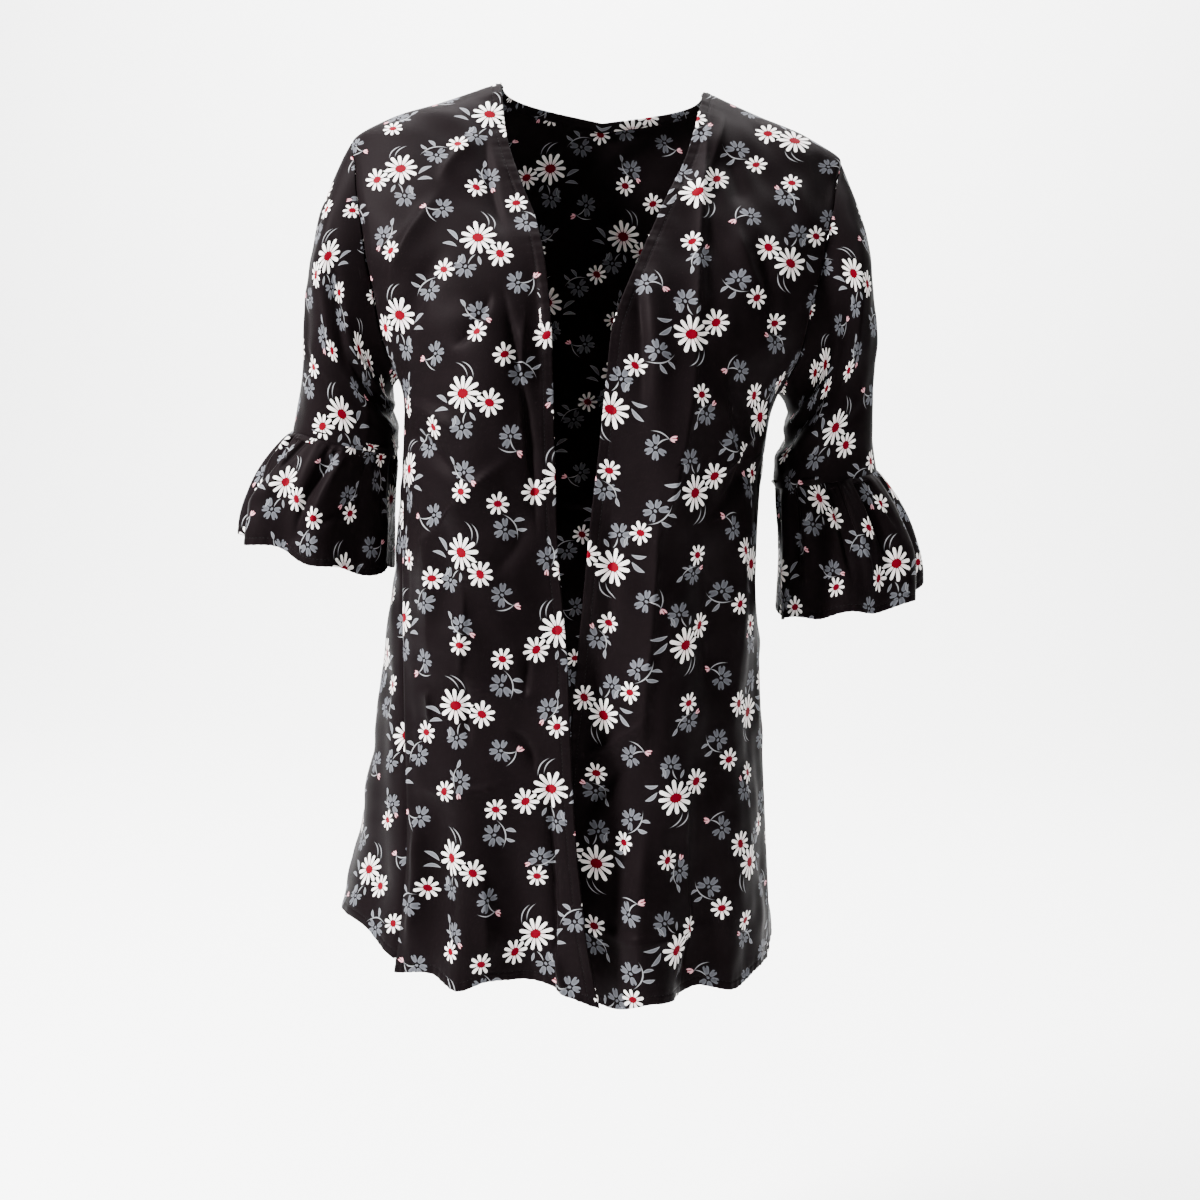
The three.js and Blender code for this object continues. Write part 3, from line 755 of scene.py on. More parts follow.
def body_uv(grid, plumb, turned, shift):
    """Cloth coordinates of a body panel: u is the level distance from the plumb line at x = plumb,
    v is the length of that line from its top down to the point's level. From the chest up, v goes
    on by the length of the point's own line instead."""
    way = np.sign(grid[-1, -1, 0] - grid[0, -1, 0])
    step = np.linalg.norm(np.diff(grid[..., :2], axis=0), axis=-1)
    level = np.cumsum(np.pad(step, [(1, 0), (0, 0)]), axis=0)
    x = grid[..., 0] * way
    after = np.argmax(x >= plumb * way, axis=0)
    at = np.arange(grid.shape[1])
    share = (plumb * way - x[after - 1, at]) / (x[after, at] - x[after - 1, at])
    u = way * (level - lerp(level[after - 1, at], level[after, at], share))
    line = lerp(grid[after - 1, at], grid[after, at], share[:, None])
    run = np.concatenate([[0], np.cumsum(np.linalg.norm(np.diff(line, axis=0), axis=-1))])
    z = grid[..., 2]
    within = np.clip(z, line[-1, 2], line[0, 2])
    v = z - within - np.interp(-within, -line[:, 2], run)
    own = np.linalg.norm(np.diff(grid, axis=1), axis=-1)
    step = lerp(own, -np.diff(v, axis=1), smooth(LEVEL_FROM, LEVEL_FULL, -z[:, 1:]))
    rise = np.cumsum(step[:, ::-1], axis=1)[:, ::-1]
    v = v[:, -1:] + np.pad(rise, [(0, 0), (0, 1)])
    uv = np.stack([u, v], -1)
    if turned:
        uv = -uv
    return uv + np.array(shift)


def tube_uv(grid, wide, shift):
    """Cloth coordinates of a tube that was cut flat and is wide along every row."""
    share = np.linspace(0, 1, grid.shape[0])[:, None]
    v = -np.mean(lengths(grid, 1, 0), axis=0, keepdims=True)
    u = share * wide + 0 * v
    return np.stack([u + shift[0], v + 0 * share + shift[1]], -1)


def cut_area(grid):
    """Area of a grid, flat or in space: the sum of half the cross products of its diagonals."""
    place = np.zeros(grid.shape[:2] + (3,))
    place[..., : grid.shape[-1]] = grid
    p = place[1:, 1:] - place[:-1, :-1]
    q = place[:-1, 1:] - place[1:, :-1]
    return np.sum(np.linalg.norm(np.cross(p, q), axis=-1)) / 2


# Meshes


def add_piece(name, mesh):
    mesh.shade_smooth()
    thing = bpy.data.objects.new(name, mesh)
    bpy.context.collection.objects.link(thing)
    return thing


def grid_mesh(name, grid, uv, flip):
    """A mesh of one grid of points with its cloth coordinates, in metres."""
    rows, columns = grid.shape[:2]
    index = np.arange(rows * columns).reshape(rows, columns)
    a, b = index[:-1, :-1], index[1:, :-1]
    c, d = index[1:, 1:], index[:-1, 1:]
    faces = np.stack([a, b, c, d] if not flip else [a, d, c, b], -1).reshape(-1, 4)
    mesh = bpy.data.meshes.new(name)
    mesh.vertices.add(rows * columns)
    mesh.vertices.foreach_set("co", (grid.reshape(-1, 3) * MM).ravel())
    mesh.loops.add(faces.size)
    mesh.loops.foreach_set("vertex_index", faces.ravel())
    mesh.polygons.add(len(faces))
    mesh.polygons.foreach_set("loop_start", np.arange(0, faces.size, 4))
    mesh.polygons.foreach_set("loop_total", np.full(len(faces), 4))
    mesh.update(calc_edges=True)
    layer = mesh.uv_layers.new(name="Cloth")
    layer.data.foreach_set("uv", (uv.reshape(-1, 2)[faces.ravel()] * MM).ravel())
    mesh.validate()
    return add_piece(name, mesh)


def thicken(thing, thickness):
    """Gives a sheet its wall, on the side away from its normals."""
    mod = thing.modifiers.new("wall", "SOLIDIFY")
    mod.thickness = thickness * MM
    mod.offset = -1
    mod.use_even_offset = False
    mod.use_quality_normals = True


def cloth_piece(node, sheet, flip, cut=None):
    """Finishes one cut piece: its wall, its two sides, and the part it stands in for, which it parents to
    the root and hides. It also works out a flat size (cut, or else what its cloth coordinates span) and an
    area, but nothing takes them up."""
    grid, uv, _ = sheet
    thing = grid_mesh(node + "_cloth", grid, uv, flip)
    thicken(thing, CLOTH_THICK)
    thing.data.materials.append(cloth_outside())
    thing.data.materials.append(cloth_inside())
    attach(thing, "root")
    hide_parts(node)
    wide, high = cut or (np.ptp(uv[..., 0]), np.ptp(uv[..., 1]))
    flat = (wide * MM, high * MM)
    area = min((cut_area(grid) if cut else cut_area(uv)) * MM * MM, flat[0] * flat[1])


def line_at(sheet, axis, inset):
    """Points and normals of the line that runs inset from the sheet's last line."""
    grid, _, out = [np.moveaxis(part, axis, 0)[::-1] for part in sheet]
    run = reach_from_edge(grid)[1:]
    k = np.argmax(run > inset, axis=0)
    at = np.arange(grid.shape[1])
    before = np.where(k > 0, run[k - 1, at], 0)
    share = ((inset - before) / (run[k, at] - before))[:, None]
    return lerp(grid[k, at], grid[k + 1, at], share), out[k, at]


def unit(vectors):
    return vectors / (np.linalg.norm(vectors, axis=-1, keepdims=True) + 1e-9)


def stitch_row(name, node, sheet, axis, inset):
    """Small stitches beside the sheet's last line: each is a rod with round ends, a circle that
    shrinks to the ends, laid along the line and half sunk in the cloth."""
    line, normal = line_at(sheet, axis, inset)
    run = np.concatenate([[0], np.cumsum(np.linalg.norm(np.diff(line, axis=0), axis=-1))])
    at = np.arange(STITCH_PITCH, run[-1] - STITCH_PITCH, STITCH_PITCH)
    centre = np.stack([np.interp(at, run, line[:, k]) for k in range(3)], -1)
    after = np.stack([np.interp(at + 1, run, line[:, k]) for k in range(3)], -1)
    up = np.stack([np.interp(at, run, normal[:, k]) for k in range(3)], -1)
    ahead = unit(after - centre)
    across = unit(np.cross(up, ahead))
    up = np.cross(ahead, across)
    rings = np.linspace(-1, 1, STITCH_RINGS)
    angles = np.arange(STITCH_SIDES) * 2 * np.pi / STITCH_SIDES
    long = rings * STITCH_LONG / 2
    thick = STITCH_THICK / 2 * np.sqrt(np.clip(1.02 - rings**4, 0, 1))
    lift = 0.12 - 0.16 * rings**2
    p = centre[:, None, None, :] + ahead[:, None, None, :] * long[None, :, None, None]
    p = p + across[:, None, None, :] * (thick[:, None] * np.cos(angles))[None, :, :, None]
    p = p + up[:, None, None, :] * (thick[:, None] * np.sin(angles) + lift[:, None])[None, :, :, None]
    ring, turn = np.meshgrid(np.arange(STITCH_RINGS - 1), np.arange(STITCH_SIDES), indexing="ij")
    base = np.arange(len(at))[:, None, None] * STITCH_RINGS * STITCH_SIDES
    here = base + ring * STITCH_SIDES
    there = here + STITCH_SIDES
    after_turn = (turn + 1) % STITCH_SIDES
    faces = np.stack([here + turn, here + after_turn, there + after_turn, there + turn], -1).reshape(-1, 4)
    mesh = bpy.data.meshes.new(name)
    mesh.from_pydata((p.reshape(-1, 3) * MM).tolist(), [], faces.tolist())
    thing = add_piece(name, mesh)
    thing.data.materials.append(thread_material())
    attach(thing, "root")
    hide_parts(node)
    return thing


# The pieces


def make_front(side):
    node = sided("front", side)
    flip = side == RIGHT
    s, t = np.meshgrid(FRONT_ACROSS, BODY_DOWN, indexing="ij")
    base = front_surface(side, s, t)
    free = smooth(-0.02, 0.1, 1 - s)
    still = smooth(0, 0.1, s) * smooth(0, 0.04, t)
    grid = finish_cloth(base, flip, CREASES[node], 11 + side, FRONT_RIPPLE, free, still)
    uv = body_uv(base, PLUMB_X * side, side == LEFT, (40 + 31 * side, 17 * side))
    out = normals(grid) * (-1 if flip else 1)
    height = hem_marks(grid, 0, FRONT_HEM, 0.35, 0.28)
    height = height + hem_marks(grid, 1, LOW_HEM, 0.3, 0.3)
    height = height - seam_sink(grid)
    sheet = [grid + out * height[..., None], uv, out]
    stitches = [
        stitch_row(node + "_edge_stitch", node, sheet, 0, FRONT_HEM),
        stitch_row(node + "_hem_stitch", node, sheet, 1, LOW_HEM),
    ]
    sheet = roll_edge(sheet, 0, True, FRONT_HEM + 1, 0.85, 0.18)
    sheet = roll_edge(sheet, 0, False, SEAM_WIDE, 0.6)
    sheet = roll_edge(sheet, 1, False, SEAM_WIDE, 0.6)
    sheet = roll_edge(sheet, 1, True, LOW_HEM + 1, 0.75, 0.2)
    cloth_piece(node, sheet, flip)


def make_back():
    u, t = np.meshgrid(BACK_ACROSS, BODY_DOWN, indexing="ij")
    base = back_surface(u, t)
    still = smooth(0, 0.08, 1 - np.abs(u)) * smooth(0, 0.04, t)
    grid = finish_cloth(base, False, CREASES["back"], 5, BACK_RIPPLE, 1, still)
    uv = body_uv(base, 0, False, (12, 44))
    out = normals(grid)
    height = hem_marks(grid, 1, LOW_HEM, 0.3, 0.3)
    height = height - seam_sink(grid) - seam_sink(grid[::-1])[::-1]
    sheet = [grid + out * height[..., None], uv, out]
    stitches = [stitch_row("back_hem_stitch", "back", sheet, 1, LOW_HEM)]
    sheet = roll_edge(sheet, 0, True, SEAM_WIDE, 0.6)
    sheet = roll_edge(sheet, 0, False, SEAM_WIDE, 0.6)
    sheet = roll_edge(sheet, 1, False, SEAM_WIDE, 0.6)
    sheet = roll_edge(sheet, 1, True, LOW_HEM + 1, 0.75, 0.2)
    cloth_piece("back", sheet, False)


def make_sleeve(side):
    node = sided("sleeve", side)
    flip = side == RIGHT
    turn, v = np.meshgrid(SLEEVE_AROUND, SLEEVE_DOWN, indexing="ij")
    base = sleeve_surface(side, turn, v)
    out = normals(base) * (-1 if flip else 1)
    height = sleeve_folds(side, turn, v)
    height = height + round_creases(SLEEVE_CREASES[side], turn, v, SLEEVE_LONG)
    height = height + crumple(31 + side, base[..., 1] * 1.5, base[..., 2], SLEEVE_RIPPLE)
    grid = base + out * (height * np.sin(np.pi * v) ** 0.5)[..., None]
    around = lengths(base, 0, len(SLEEVE_AROUND) // 2) * side
    up = -lengths(base, 1, base.shape[1] - 1)
    uv = np.stack([around, up], -1) + np.array([25 * side, 60 + 20 * side])
    sheet = [grid, uv, normals(grid) * (-1 if flip else 1)]
    for axis, last in ((0, True), (0, False), (1, False), (1, True)):
        sheet = roll_edge(sheet, axis, last, SEAM_WIDE - 2, 0.5)
    level = np.linalg.norm(np.diff(base[..., :2], axis=0), axis=-1)
    cut = (np.max(np.sum(level, axis=0)) + 2 * SEAM_WIDE, np.ptp(base[..., 2]) + 2 * SEAM_WIDE)
    cloth_piece(node, sheet, flip, cut)


def make_ruffle(side):
    node = sided("ruffle", side)
    flip = side == RIGHT
    turn, v = np.meshgrid(RUFFLE_AROUND, RUFFLE_DOWN, indexing="ij")
    grid = ruffle_surface(side, turn, v)
    out = normals(grid) * (-1 if flip else 1)
    height = round_creases(RUFFLE_CREASES[side], turn, v, RUFFLE_LONG)
    grid = grid + out * (height * smooth(0, 0.06, v))[..., None]
    out = normals(grid) * (-1 if flip else 1)
    hem_run = np.sum(np.linalg.norm(np.diff(grid[:, -1], axis=0), axis=-1))
    uv = tube_uv(grid, hem_run, (10 * side, 30 - 14 * side))
    if side == RIGHT:
        uv[..., 0] = -uv[..., 0]
    height = hem_marks(grid, 1, RUFFLE_HEM, 0.3, 0.2)
    sheet = [grid + out * height[..., None], uv, out]
    stitches = [stitch_row(node + "_hem_stitch", node, sheet, 1, RUFFLE_HEM)]
    sheet = roll_edge(sheet, 1, False, SEAM_WIDE - 3, 0.45)
    sheet = roll_edge(sheet, 1, True, RUFFLE_HEM + 0.6, 0.65, 0.2)
    cloth_piece(node, sheet, flip)


# The print: colours, flowers and their layout. A share of an ink says how densely it covers.
PRINT_EDGE = 0.3
PETAL_MIDDLE = 0.64
PETAL_HALF = 0.37
BITE_MIDDLE = 1.04
BITE_LONG = 0.22
BITE_WIDE = 0.09
PRINT_SIZE = 0.88
CELL_WIDE = 80.0
CELL_HIGH = 132.0
CELL_NUDGE = 2.5
GROUND = (0.0028, 0.00195, 0.0022, 1)
WRONG_SIDE = (0.006, 0.0052, 0.0054, 1)
WRONG_SIDE_INK = 0.42
PRINT_COLORS = [
    ("Grey", 1.0, (0.100, 0.104, 0.118, 1)),
    ("Line", 0.85, (0.27, 0.275, 0.29, 1)),
    ("White", 1.0, (0.80, 0.765, 0.74, 1)),
    ("Pink", 1.0, (0.60, 0.30, 0.34, 1)),
    ("Vein", 0.45, (0.30, 0.20, 0.20, 1)),
    ("Red", 1.0, (0.105, 0.0006, 0.006, 1)),
]
PRINT_PARTS = ["White", "Red", "Grey", "Line", "Pink", "Vein"]
FLOWER_COLUMNS = ["x", "y", "radius", "petals", "slim", "turn", "heart", "kind"]
BLADE_COLUMNS = ["x", "y", "turn", "length", "width", "bend", "kind"]
DAISY = "White"
BELL = "Grey"
STROKE = "Line"
LEAF = "Leaf"
PINK = "Pink"
MOTIFS = {
    "Pair": {
        "flowers": [
            (3, 4, 15.0, 12, 0.108, 12, 0.30, DAISY),
            (-18, -9, 11.2, 10, 0.128, 40, 0.32, DAISY),
            (10, -23, 10.4, 6, 0.25, 300, 0.13, BELL),
        ],
        "blades": [
            (-9, 15, 62, 17, 0.026, 0.16, STROKE),
            (-4, 17, 58, 16, 0.026, 0.15, STROKE),
            (20, 0, 40, 14, 0.13, 0.1, LEAF),
            (20, -6, 8, 13, 0.12, 0.12, LEAF),
            (3, -12, 300, 10, 0.05, 0.1, STROKE),
            (0, -13, 248, 8, 0.17, 0.0, LEAF),
            (14, -13, 292, 9, 0.16, -0.05, LEAF),
        ],
    },
    "Sprig": {
        "flowers": [
            (-10, 9, 9.6, 9, 0.14, 8, 0.33, DAISY),
            (0, -11, 10.2, 6, 0.25, 222, 0.13, BELL),
        ],
        "blades": [
            (-4, 1, 312, 24, 0.02, 0.18, STROKE),
            (6, -3, 20, 9.5, 0.17, 0.1, LEAF),
            (10, -9, 12, 8.5, 0.16, -0.1, LEAF),
        ],
    },
    "Twig": {
        "flowers": [(-4, 1, 10.0, 6, 0.25, 166, 0.13, BELL)],
        "blades": [
            (-3, 0, 340, 12, 0.04, -0.12, STROKE),
            (-4, -13, 40, 17, 0.026, -0.14, STROKE),
            (9, -4, 18, 5.4, 0.2, 0.0, PINK),
            (9, -4, 350, 6.2, 0.17, 0.0, PINK),
            (9, -4, 50, 4.6, 0.19, 0.0, PINK),
            (10, -4, 8, 4.8, 0.1, 0.0, "Red"),
        ],
    },
    "Spray": {
        "flowers": [
            (2, -11, 9.2, 9, 0.14, 22, 0.34, DAISY),
            (-4, 4, 9.8, 6, 0.25, 112, 0.13, BELL),
        ],
        "blades": [
            (-4, -3, 62, 19, 0.024, -0.17, STROKE),
            (5, 12, 76, 8, 0.18, 0.08, LEAF),
            (4, 4, 28, 6, 0.16, 0.0, LEAF),
            (-9, -4, 216, 5.0, 0.2, 0.0, PINK),
            (-9, -4, 246, 5.4, 0.17, 0.0, PINK),
            (-9.6, -4.6, 230, 4.4, 0.1, 0.0, "Red"),
        ],
    },
}
# The lattices that scatter the motifs: motif, shift of the lattice in cells, sway
LAYOUT = [
    ("Pair", (0.0, 0.0), 0.35),
    ("Sprig", (0.5, 0.25), 0.6),
    ("Twig", (0.5, 0.75), 0.8),
    ("Spray", (0.0, 0.5), 0.6),
]


# Shader nodes


class Value:
    """A number inside a shader node tree, so that a formula can be written as one."""

    def __init__(self, tree, socket):
        self.tree = tree
        self.socket = socket

    def math(self, operation, *others, clamp=False):
        node = self.tree.nodes.new("ShaderNodeMath")
        node.operation = operation
        node.use_clamp = clamp
        for place, part in zip(node.inputs, (self, *others)):
            if isinstance(part, Value):
                self.tree.links.new(part.socket, place)
            else:
                place.default_value = part
        return Value(self.tree, node.outputs[0])

    def __add__(self, other):
        return self.math("ADD", other)

    def __sub__(self, other):
        return self.math("SUBTRACT", other)

    def __mul__(self, other):
        return self.math("MULTIPLY", other)

    def __truediv__(self, other):
        return self.math("DIVIDE", other)

    def times_plus(self, factor, term, clamp=False):
        return self.math("MULTIPLY_ADD", factor, term, clamp=clamp)


def new_group(name, inputs, outputs):
    """An empty node group, its inputs as values by name, and its output node."""
    group = bpy.data.node_groups.new(name, "ShaderNodeTree")
    for label, number in inputs:
        kind = "NodeSocketVector" if isinstance(number, tuple) else "NodeSocketFloat"
        socket = group.interface.new_socket(label, in_out="INPUT", socket_type=kind)
        socket.default_value = number
    for label in outputs:
        group.interface.new_socket(label, in_out="OUTPUT", socket_type="NodeSocketFloat")
    start = group.nodes.new("NodeGroupInput")
    end = group.nodes.new("NodeGroupOutput")
    values = {label: Value(group, start.outputs[label]) for label, _ in inputs}
    return group, values, end


def put(group, end, label, value):
    group.links.new(value.socket, end.inputs[label])


def call(tree, group, **given):
    """Places a group and sets its inputs. Gives its outputs by name."""
    node = tree.nodes.new("ShaderNodeGroup")
    node.node_tree = group
    for label, part in given.items():
        if isinstance(part, Value):
            tree.links.new(part.socket, node.inputs[label])
        else:
            node.inputs[label].default_value = part
    return {out.name: Value(tree, out) for out in node.outputs}


def split_up(tree, vector):
    node = tree.nodes.new("ShaderNodeSeparateXYZ")
    tree.links.new(vector.socket, node.inputs[0])
    return [Value(tree, out) for out in node.outputs]


def from_place(tree, point, place, turn, size):
    """The point as seen from a place: moved there, turned, and divided by the size."""
    node = tree.nodes.new("ShaderNodeMapping")
    node.vector_type = "TEXTURE"
    tree.links.new(point.socket, node.inputs["Vector"])
    node.inputs["Location"].default_value = (place[0], place[1], 0)
    node.inputs["Rotation"].default_value = (0, 0, math.radians(turn))
    node.inputs["Scale"].default_value = (size, size, 1)
    return Value(tree, node.outputs[0])


def any_of(masks):
    joined = masks[0]
    for mask in masks[1:]:
        joined = joined.math("MAXIMUM", mask)
    return joined


def flower_group():
    """A flower of radius 1 round the middle. The angle is folded into one petal's sector, where
    along and across run from the petal's root. A petal is the blunt egg
    ((along - 0.64) / 0.37)^4 + (across / (Slim * (0.6 + 0.6 * along)))^2 < 1. Bell leaves out
    the petal that points away from x, darkens the middle of the others and takes a round bite
    out of each tip. The heart is an oval, and Blush is the tint of the petals near it. Radius
    gives the real size of the edge."""
    inputs = [
        ("Point", (0.0, 0.0, 0.0)),
        ("Radius", 14),
        ("Petals", 12),
        ("Slim", 0.13),
        ("Heart", 0.3),
        ("Bell", 0),
    ]
    group, on, end = new_group("Flower", inputs, ["Petals", "Heart", "Vein", "Blush"])
    x, y, _ = split_up(group, on["Point"])
    angle = y.math("ARCTAN2", x)
    sector = on["Petals"].math("DIVIDE", 2 * math.pi)
    count = (angle * sector).math("ROUND")
    fold = angle - count / sector
    far = (x * x + y * y).math("SQRT") * (count * 2.4).math("SINE").times_plus(0.07, 1.0)
    along = far * fold.math("COSINE")
    across = far * fold.math("SINE")
    wide = along.times_plus(0.6, 0.6) * on["Slim"]
    middle = ((along - PETAL_MIDDLE) / PETAL_HALF).math("POWER", 2.0)
    inside = (across / wide).math("POWER", 2.0) + middle * middle
    size = on["Radius"] * (0.22 / PRINT_EDGE)
    petals = inside.times_plus(-1.0, 1.0).times_plus(size, 0.5, clamp=True)
    bite = ((along - BITE_MIDDLE) / BITE_LONG).math("POWER", 2.0) + (across / BITE_WIDE).math("POWER", 2.0)
    bite = bite.times_plus(-1.0, 1.0) * on["Bell"]
    petals = petals.math("SUBTRACT", bite.times_plus(size, 0.0, clamp=True), clamp=True)
    heart = ((x * 0.86).math("POWER", 2.0) + (y * 1.12).math("POWER", 2.0)).math("SQRT")
    heart = (on["Heart"] - heart).times_plus(on["Radius"] * (1 / PRINT_EDGE), 0.5, clamp=True)
    vein = across.math("ABSOLUTE").times_plus(-40.0, 1.0, clamp=True)
    vein = vein * along.times_plus(-3.0, 2.6, clamp=True)
    shut = count.math("ABSOLUTE").times_plus(1.0, -2.0, clamp=True)
    hollow = inside.times_plus(-0.45, 0.4, clamp=True)
    petals = petals.math("SUBTRACT", on["Bell"] * (shut + hollow), clamp=True)
    put(group, end, "Petals", petals)
    put(group, end, "Heart", heart)
    put(group, end, "Vein", vein)
    put(group, end, "Blush", far.times_plus(-2.6, 1.55, clamp=True) * petals)
    return group


def blade_group():
    """A leaf, bud petal or thin stroke from the point 0 to 1 along x. It is the strip about the
    bent line y = Bend * 4 x (1 - x), as wide as Width * 4 x (1 - x)^0.7 to each side. Length
    gives the real size of the edge. Rim is the line round a leaf."""
    inputs = [("Point", (0.0, 0.0, 0.0)), ("Length", 10), ("Width", 0.1), ("Bend", 0)]
    group, on, end = new_group("Blade", inputs, ["Mask", "Rim"])
    x, y, _ = split_up(group, on["Point"])
    swell = x * x.times_plus(-4.0, 4.0)
    off = (y - swell * on["Bend"]).math("ABSOLUTE")
    inside = (swell * on["Width"] - off) * on["Length"]
    mask = inside.times_plus(1 / PRINT_EDGE, 0.5, clamp=True)
    core = inside.times_plus(1 / PRINT_EDGE, -1.1, clamp=True)
    put(group, end, "Mask", mask)
    put(group, end, "Rim", mask - core)
    return group


def scatter_group():
    """Where a point lies in its own cell of a brick-like lattice. Every second column is moved
    half a cell and mirrored, and each cell is nudged and turned by its own random numbers."""
    inputs = [("U", 0), ("V", 0), ("Wide", 78), ("High", 130), ("Nudge", 3), ("Sway", 0.3), ("Seed", 0)]
    group, on, end = new_group("Scatter", inputs, ["X", "Y"])
    column = (on["U"] / on["Wide"]).math("FLOOR")
    odd = column.math("FLOORED_MODULO", 2.0)
    v = on["V"] / on["High"] + odd * 0.5
    row = v.math("FLOOR")
    x = on["U"] - (column + 0.5) * on["Wide"]
    y = (v - row - 0.5) * on["High"]
    noise = group.nodes.new("ShaderNodeTexWhiteNoise")
    noise.noise_dimensions = "3D"
    cell = group.nodes.new("ShaderNodeCombineXYZ")
    for place, part in zip(cell.inputs, (column, row, on["Seed"])):
        group.links.new(part.socket, place)
    group.links.new(cell.outputs[0], noise.inputs["Vector"])
    split = group.nodes.new("ShaderNodeSeparateColor")
    group.links.new(noise.outputs["Color"], split.inputs[0])
    red, green, blue = [Value(group, out) for out in split.outputs]
    x = x + (red - 0.5) * on["Nudge"] * 2.0
    y = y + (green - 0.5) * on["Nudge"] * 2.0
    turn = (blue - 0.5) * on["Sway"] * 2.0
    cosine = turn.math("COSINE")
    sine = turn.math("SINE")
    mirror = odd * 2.0 - 1.0
    put(group, end, "X", (x * cosine + y * sine) * mirror)
    put(group, end, "Y", y * cosine - x * sine)
    return group


def motif_group(name, flower, blade):
    """One motif of the print in millimetres round its middle, as a mask for each colour."""
    group, on, end = new_group(name, [("X", 0), ("Y", 0)], PRINT_PARTS)
    pack = group.nodes.new("ShaderNodeCombineXYZ")
    group.links.new(on["X"].socket, pack.inputs[0])
    group.links.new(on["Y"].socket, pack.inputs[1])
    point = Value(group, pack.outputs[0])
    found = {part: [] for part in PRINT_PARTS}
    for row in MOTIFS[name]["flowers"]:
        at = dict(zip(FLOWER_COLUMNS, row))
        seen = from_place(group, point, (at["x"], at["y"]), at["turn"], at["radius"])
        masks = call(
            group,
            flower,
            Point=seen,
            Radius=at["radius"],
            Petals=at["petals"],
            Slim=at["slim"],
            Heart=at["heart"],
            Bell=1.0 if at["kind"] == BELL else 0.0,
        )
        found[at["kind"]].append(masks["Petals"])
        if at["kind"] == DAISY:
            found["Vein"].append(masks["Vein"] * masks["Petals"])
            found["Pink"].append(masks["Blush"] * 0.6)
        found["Grey" if at["kind"] == BELL else "Red"].append(masks["Heart"])
    for row in MOTIFS[name]["blades"]:
        at = dict(zip(BLADE_COLUMNS, row))
        seen = from_place(group, point, (at["x"], at["y"]), at["turn"], at["length"])
        masks = call(group, blade, Point=seen, Length=at["length"], Width=at["width"], Bend=at["bend"])
        if at["kind"] == LEAF:
            found["Grey"].append(masks["Mask"])
            found["Line"].append(masks["Rim"] * 0.7)
        else:
            found[at["kind"]].append(masks["Mask"])
    for part in PRINT_PARTS:
        put(group, end, part, any_of(found[part]) if found[part] else on["X"] * 0.0)
    return group


def print_group():
    """The whole flower print from cloth coordinates in millimetres."""
    flower = flower_group()
    blade = blade_group()
    scatter = scatter_group()
    group, on, end = new_group("Flower print", [("U", 0), ("V", 0)], PRINT_PARTS)
    found = {part: [] for part in PRINT_PARTS}
    for seed, (name, shift, sway) in enumerate(LAYOUT):
        cell = call(
            group,
            scatter,
            U=on["U"] + shift[0] * CELL_WIDE,
            V=on["V"] + shift[1] * CELL_HIGH,
            Wide=CELL_WIDE,
            High=CELL_HIGH,
            Nudge=CELL_NUDGE,
            Sway=sway,
            Seed=float(seed),
        )
        masks = call(group, motif_group(name, flower, blade), X=cell["X"], Y=cell["Y"])
        for part in PRINT_PARTS:
            found[part].append(masks[part])
    for part, masks in found.items():
        put(group, end, part, any_of(masks))
    return group


# Groups and materials that are built once
MADE = {}


# Materials


def once(name, maker):
    if name not in MADE:
        MADE[name] = maker()
    return MADE[name]


def mix_color(tree, share, low, high):
    """Output of a node that goes from the colour low to the colour high with share."""
    node = tree.nodes.new("ShaderNodeMix")
    node.data_type = "RGBA"
    tree.links.new(share.socket, node.inputs[0])
    for place, part in ((node.inputs[6], low), (node.inputs[7], high)):
        if isinstance(part, tuple):
            place.default_value = part
        else:
            tree.links.new(part, place)
    return node.outputs[2]


def noise_on(tree, place, scale, detail):
    node = tree.nodes.new("ShaderNodeTexNoise")
    node.inputs["Scale"].default_value = scale
    node.inputs["Detail"].default_value = detail
    tree.links.new(place.outputs[0], node.inputs["Vector"])
    return node.outputs[0]


def cloth_material(name, show, ground):
    """Light crepe with the print: a near black ground with soft lighter clouds, the inks one over
    the other, and a fine grain in its normals. show is how strongly the print comes through."""
    material = bpy.data.materials.new(name)
    material.use_nodes = True
    tree = material.node_tree
    shader = tree.nodes["Principled BSDF"]
    place = tree.nodes.new("ShaderNodeUVMap")
    place.uv_map = "Cloth"
    split = tree.nodes.new("ShaderNodeSeparateXYZ")
    tree.links.new(place.outputs[0], split.inputs[0])
    u = Value(tree, split.outputs[0]) * (1 / (MM * PRINT_SIZE))
    v = Value(tree, split.outputs[1]) * (1 / (MM * PRINT_SIZE))
    masks = call(tree, once("print", print_group), U=u, V=v)
    cloud = Value(tree, noise_on(tree, place, 14.0, 3.0))
    lighter = tuple(c * 1.7 for c in ground[:3]) + (1,)
    color = mix_color(tree, cloud * 0.8, ground, lighter)
    for part, strength, ink in PRINT_COLORS:
        color = mix_color(tree, masks[part] * (strength * show), color, ink)
    tree.links.new(color, shader.inputs["Base Color"])
    bump = tree.nodes.new("ShaderNodeBump")
    bump.inputs["Strength"].default_value = 0.35
    bump.inputs["Distance"].default_value = 0.0003
    tree.links.new(noise_on(tree, place, 1300.0, 2.0), bump.inputs["Height"])
    tree.links.new(bump.outputs[0], shader.inputs["Normal"])
    shader.inputs["Roughness"].default_value = 0.5
    shader.inputs["Specular IOR Level"].default_value = 0.012
    shader.inputs["Specular Tint"].default_value = (1.0, 0.80, 0.82, 1)
    shader.inputs["Sheen Weight"].default_value = 0.001
    shader.inputs["Sheen Roughness"].default_value = 0.5
    shader.inputs["Sheen Tint"].default_value = (0.90, 0.70, 0.72, 1)
    return material


def cloth_outside():
    return once("outside", lambda: cloth_material("Printed crepe", 1.0, GROUND))


def cloth_inside():
    return once("inside", lambda: cloth_material("Printed crepe wrong side", WRONG_SIDE_INK, WRONG_SIDE))


